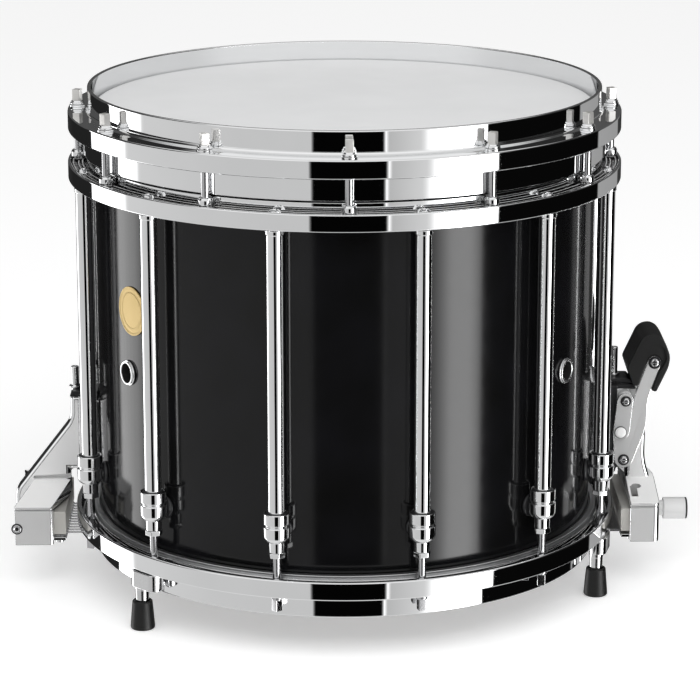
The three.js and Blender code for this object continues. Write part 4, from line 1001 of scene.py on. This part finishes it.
# Lever hardware. Each pin ends in a domed head set in a dark ring: slotted at the pivot and at the
# link screw, cross-recessed at the grip, and a plain pale rivet in the middle.
dark_ring = finish("dark_ring", (0.03, 0.03, 0.032), (0.02, 0.02, 0.022), (0.25, 0.35),
                   0.6, 0.5, 0)
ring_widths = {"plain": 0.4, "slot": 1, "cross": 1.4}
slot_half = 0.5
for name, side in (("front", -1), ("back", 1)):
    for label, body, out, up, start, radius, height, recess in (
            ("pivot", "throw_lever", pivot_out, pivot_up, cheek_far, 4.1, 2.2, "slot"),
            ("grip", "throw_lever", grip_screw_out, grip_screw_up, cheek_far, 4.6, 1.6, "cross"),
            ("link", "throw_links", link_out, link_up, link_far, 3.9, 2, "slot"),
            ("rivet", "throw_links", rivet_out, rivet_up, link_far, 4.4, 1.9, "plain")):
        place = shift(out, side * start, up) @ quarter('X', -side)
        rim = radius - ring_widths[recess]
        head = turned([(0, -0.3), (rim, -0.3), (rim, height * 0.6, 0.5),
                       (rim * 0.6, height, 0.5), (0, height)], 40)
        ring = turned([(rim, 0), (radius, 0), (radius, height * 0.4, 0.4),
                       (rim, height * 0.5, 0.2)], 40)
        made = piece(f"{label}_head_{name}", moved(head, place),
                     pale_rivet_and_painted_roof_light if recess == "plain" else steel, body)
        piece(f"{label}_ring_{name}", moved(ring, place), dark_ring, body)
        arms = {"plain": [], "slot": [(radius, slot_half)],
                "cross": [(radius, slot_half), (slot_half, radius)]}
        for wide, deep in arms[recess]:
            slot = block((-wide, -deep, height * 0.4), (wide, deep, height + 1), 0.1)
            bored(made, moved(slot, place))

# Grip. A thick hood of moulded black rubber is pushed over the end of the lever; a thin skirt of it
# hangs down outside, and the lever's end and its screw stay in sight between the two.
lean = math.atan2(9.4, 26)
grip_unit = 4.8


def on_lever(corners):
    """Corners along and across the lever's end, measured from its screw in grip units."""
    return [
        (grip_screw_out + grip_unit * (along * math.sin(lean) + across * math.cos(lean)),
         grip_screw_up + grip_unit * (along * math.cos(lean) - across * math.sin(lean)), rounding)
        for along, across, rounding in corners]


hood = plate(on_lever([
    (-4.4, -1.75, 1), (-4.2, -1.1, 1), (1.08, -1.08, 5), (1.08, 1.08, 5), (-4.15, 1.08, 1),
    (-4.15, 1.85, 1.4), (0.1, 2.2, 3), (1.7, 1.85, 3), (3.5, 0.3, 3), (4.2, -0.9, 3),
    (4, -2.2, 3), (3, -3.2, 3), (-2.1, -3.6, 1.6)]), -cheek_far - 1.2, cheek_far + 1.2, 0.9)
grip = piece("grip_hood", hood, rubber, "throw_lever", ["lever_grip"])
for near, far in both_sides(cheek_far - 0.5, cheek_far + 2):
    bored(grip, plate(on_lever([
        (-1, -1.2, 1), (1.6, -1.5, 2), (2.9, -0.6, 2), (2.6, 0.6, 2), (1.2, 1.55, 2),
        (-1, 1.3, 1)]), near, far, 0.3), overlapping=True)

# Snare clamps. A satin block and a plated plate squeeze the end bar of the snares between two
# screws; on the right a smooth alloy knob draws the block outwards and so tightens the snares.
clamp_half = 41.5
clamp_screw_half = clamp_half - 3.5
anodised = finish("warm_anodised", (0.56, 0.55, 0.52), (0.5, 0.49, 0.46), (0.4, 0.5),
                  0.3, 0.5, 0.01)
clamp_bodies = {"throw": "throw_clamp", "butt": "butt_carriage"}
for name, turn in across_drum.items():
    body = clamp_bodies[name]
    low, high = span(f"{name}_clamp_block")
    near, far = (low.x, high.x) if name == "throw" else (-high.x, -low.x)
    upper = block((near, -clamp_half, low.z), (far, clamp_half, high.z), 0.6)
    piece(f"{name}_grip_block", moved(upper, turn), anodised, body,
          [f"{name}_clamp_block"])
    screw_low = span(f"{name}_clamp_plate")[0].z
    under = screw_low + 2.2
    parts = [block((near, -clamp_half, under), (far, clamp_half, under + 2.4), 0.4)]
    for side in (-1, 1):
        head = turned([(0, screw_low), (2.2, screw_low, 0.3), (3, screw_low + 0.8, 0.3),
                       (3, under), (0, under)], 32)
        parts.append(moved(head, shift((near + far) / 2, side * clamp_screw_half, 0)))
    piece(f"{name}_grip_plate", moved(joined(*parts), turn), chrome, body,
          [f"{name}_clamp_plate"])
knob_low, knob_high = span("tension_knob")
knob_radius = (knob_high.z - knob_low.z) / 2
knob_level = (knob_high.z + knob_low.z) / 2
knob_end = knob_high.x
knob_start = knob_end - 17.4
knob = turned([
    (0, knob_low.x), (3, knob_low.x, 0.4), (3, foot_out + 0.3), (5.5, foot_out + 0.3, 0.3),
    (5.5, knob_start), (knob_radius, knob_start, 0.7), (knob_radius, knob_end - 2.2),
    (knob_radius - 0.4, knob_end - 2), (knob_radius - 0.4, knob_end - 1.6),
    (knob_radius, knob_end - 1.4), (knob_radius, knob_end, 0.8),
    (knob_radius - 2.5, knob_end, 0.4), (knob_radius - 3, knob_end - 0.5, 0.3),
    (0, knob_end - 0.5)], 96)
pale = finish("pale_alloy", (0.8, 0.8, 0.8), (0.77, 0.77, 0.77), (0.35, 0.45), 0.2, 0.5, 0.01)
for face in knob.faces:
    if face.calc_center_median().z > knob_end - 1.2:
        face.material_index = 1
moved(knob, shift(0, 0, knob_level) @ quarter('Y'))
piece("tension_thumb_knob", knob, [pale, dark_ring], "tension_knob",
      ["tension_knob"])

# Butt carriage. One casting on the left: a plate in the base, an upright column, a wide diagonal
# gusset and the box over the butt clamp, with a round socket screw at the box's outer corner.
low, high = span("butt_carriage")
hip = -low.x
carriage_top = high.z
butt_low = 78
butt_web_in = shell_radius + 12.3
butt_web_round = 3.4
column_out = shell_radius + 21
box_web_in = shell_radius + 33
butt_box_in = hoop_radius + 4.3
butt_box_out = butt_box_in + 27
skew = 11
web = paint_light_by_facing(plate([
    (butt_web_in, butt_low, butt_web_round), (butt_box_in, butt_low),
    (butt_box_in, box_eaves - 3, butt_web_round), (box_web_in, box_eaves - 3),
    (box_web_in, box_low, butt_web_round), (hip - 0.2, box_low, butt_web_round), (hip, 62.5, 5),
    (column_out, 116, 5), (column_out, carriage_top, butt_web_round),
    (butt_web_in, carriage_top, butt_web_round)], -web_half, web_half, 3.2, 4))
tongue = block((plate_in, -plate_half, butt_low), (plate_out, plate_half, carriage_top), 0.5)
neck = block((shell_radius + 8.7, -web_half, butt_low + 0.2),
             (shell_radius + 15, web_half, carriage_top - 0.2), 0.3)
# The gusset takes the lighter painted-light casting colour; the box below takes the darker copy.
butt = piece("butt_casting", moved(joined(web, tongue, neck), across_drum["butt"]), painted_light_finishes,
             "butt_carriage", ["butt_carriage"])
slot = plate([
    (butt_box_in - 1.5, box_ridge + 1.2), (butt_box_out, box_ridge + 0.8, 1),
    (butt_box_out, box_ridge + 3.2, 1), (butt_box_in - 1.5, box_ridge + 4.8)],
    web_half - 4.5, web_half + 2, 0)
bored(butt, moved(slot, across_drum["butt"]), overlapping=True)
box = paint_light_by_facing(roofed_box([
    (butt_box_in, -web_half, 0.6), (butt_box_in + skew, -box_half, 1.2),
    (butt_box_out + skew, -box_half, 1.2), (butt_box_out, -web_half, 0.6)]))
casing = piece("butt_snare_box", moved(box, across_drum["butt"]), painted_shade_finishes,
               "butt_carriage")
hollowed(casing, butt_box_in, butt_box_out, across_drum["butt"])
corner_screw_out = 4.1 - hip
corner_screw_up = 45.9
for label, side in (("front", -1), ("back", 1)):
    place = shift(corner_screw_out, side * box_half, corner_screw_up) @ quarter('X', -side)
    socket = turned([(0, -1), (3.2, -1), (3.2, 0.7, 0.5), (2.2, 0.9, 0.2), (1.5, 0.4, 0.1),
                     (0, 0.4)], 40)
    piece(f"butt_corner_screw_{label}", moved(socket, place), steel, "butt_carriage")
    ring = turned([(3.2, -0.5), (4, -0.5), (4, 0.4, 0.3), (3.2, 0.5, 0.1)], 40)
    piece(f"butt_corner_ring_{label}", moved(ring, place), dark_ring,
          "butt_carriage")
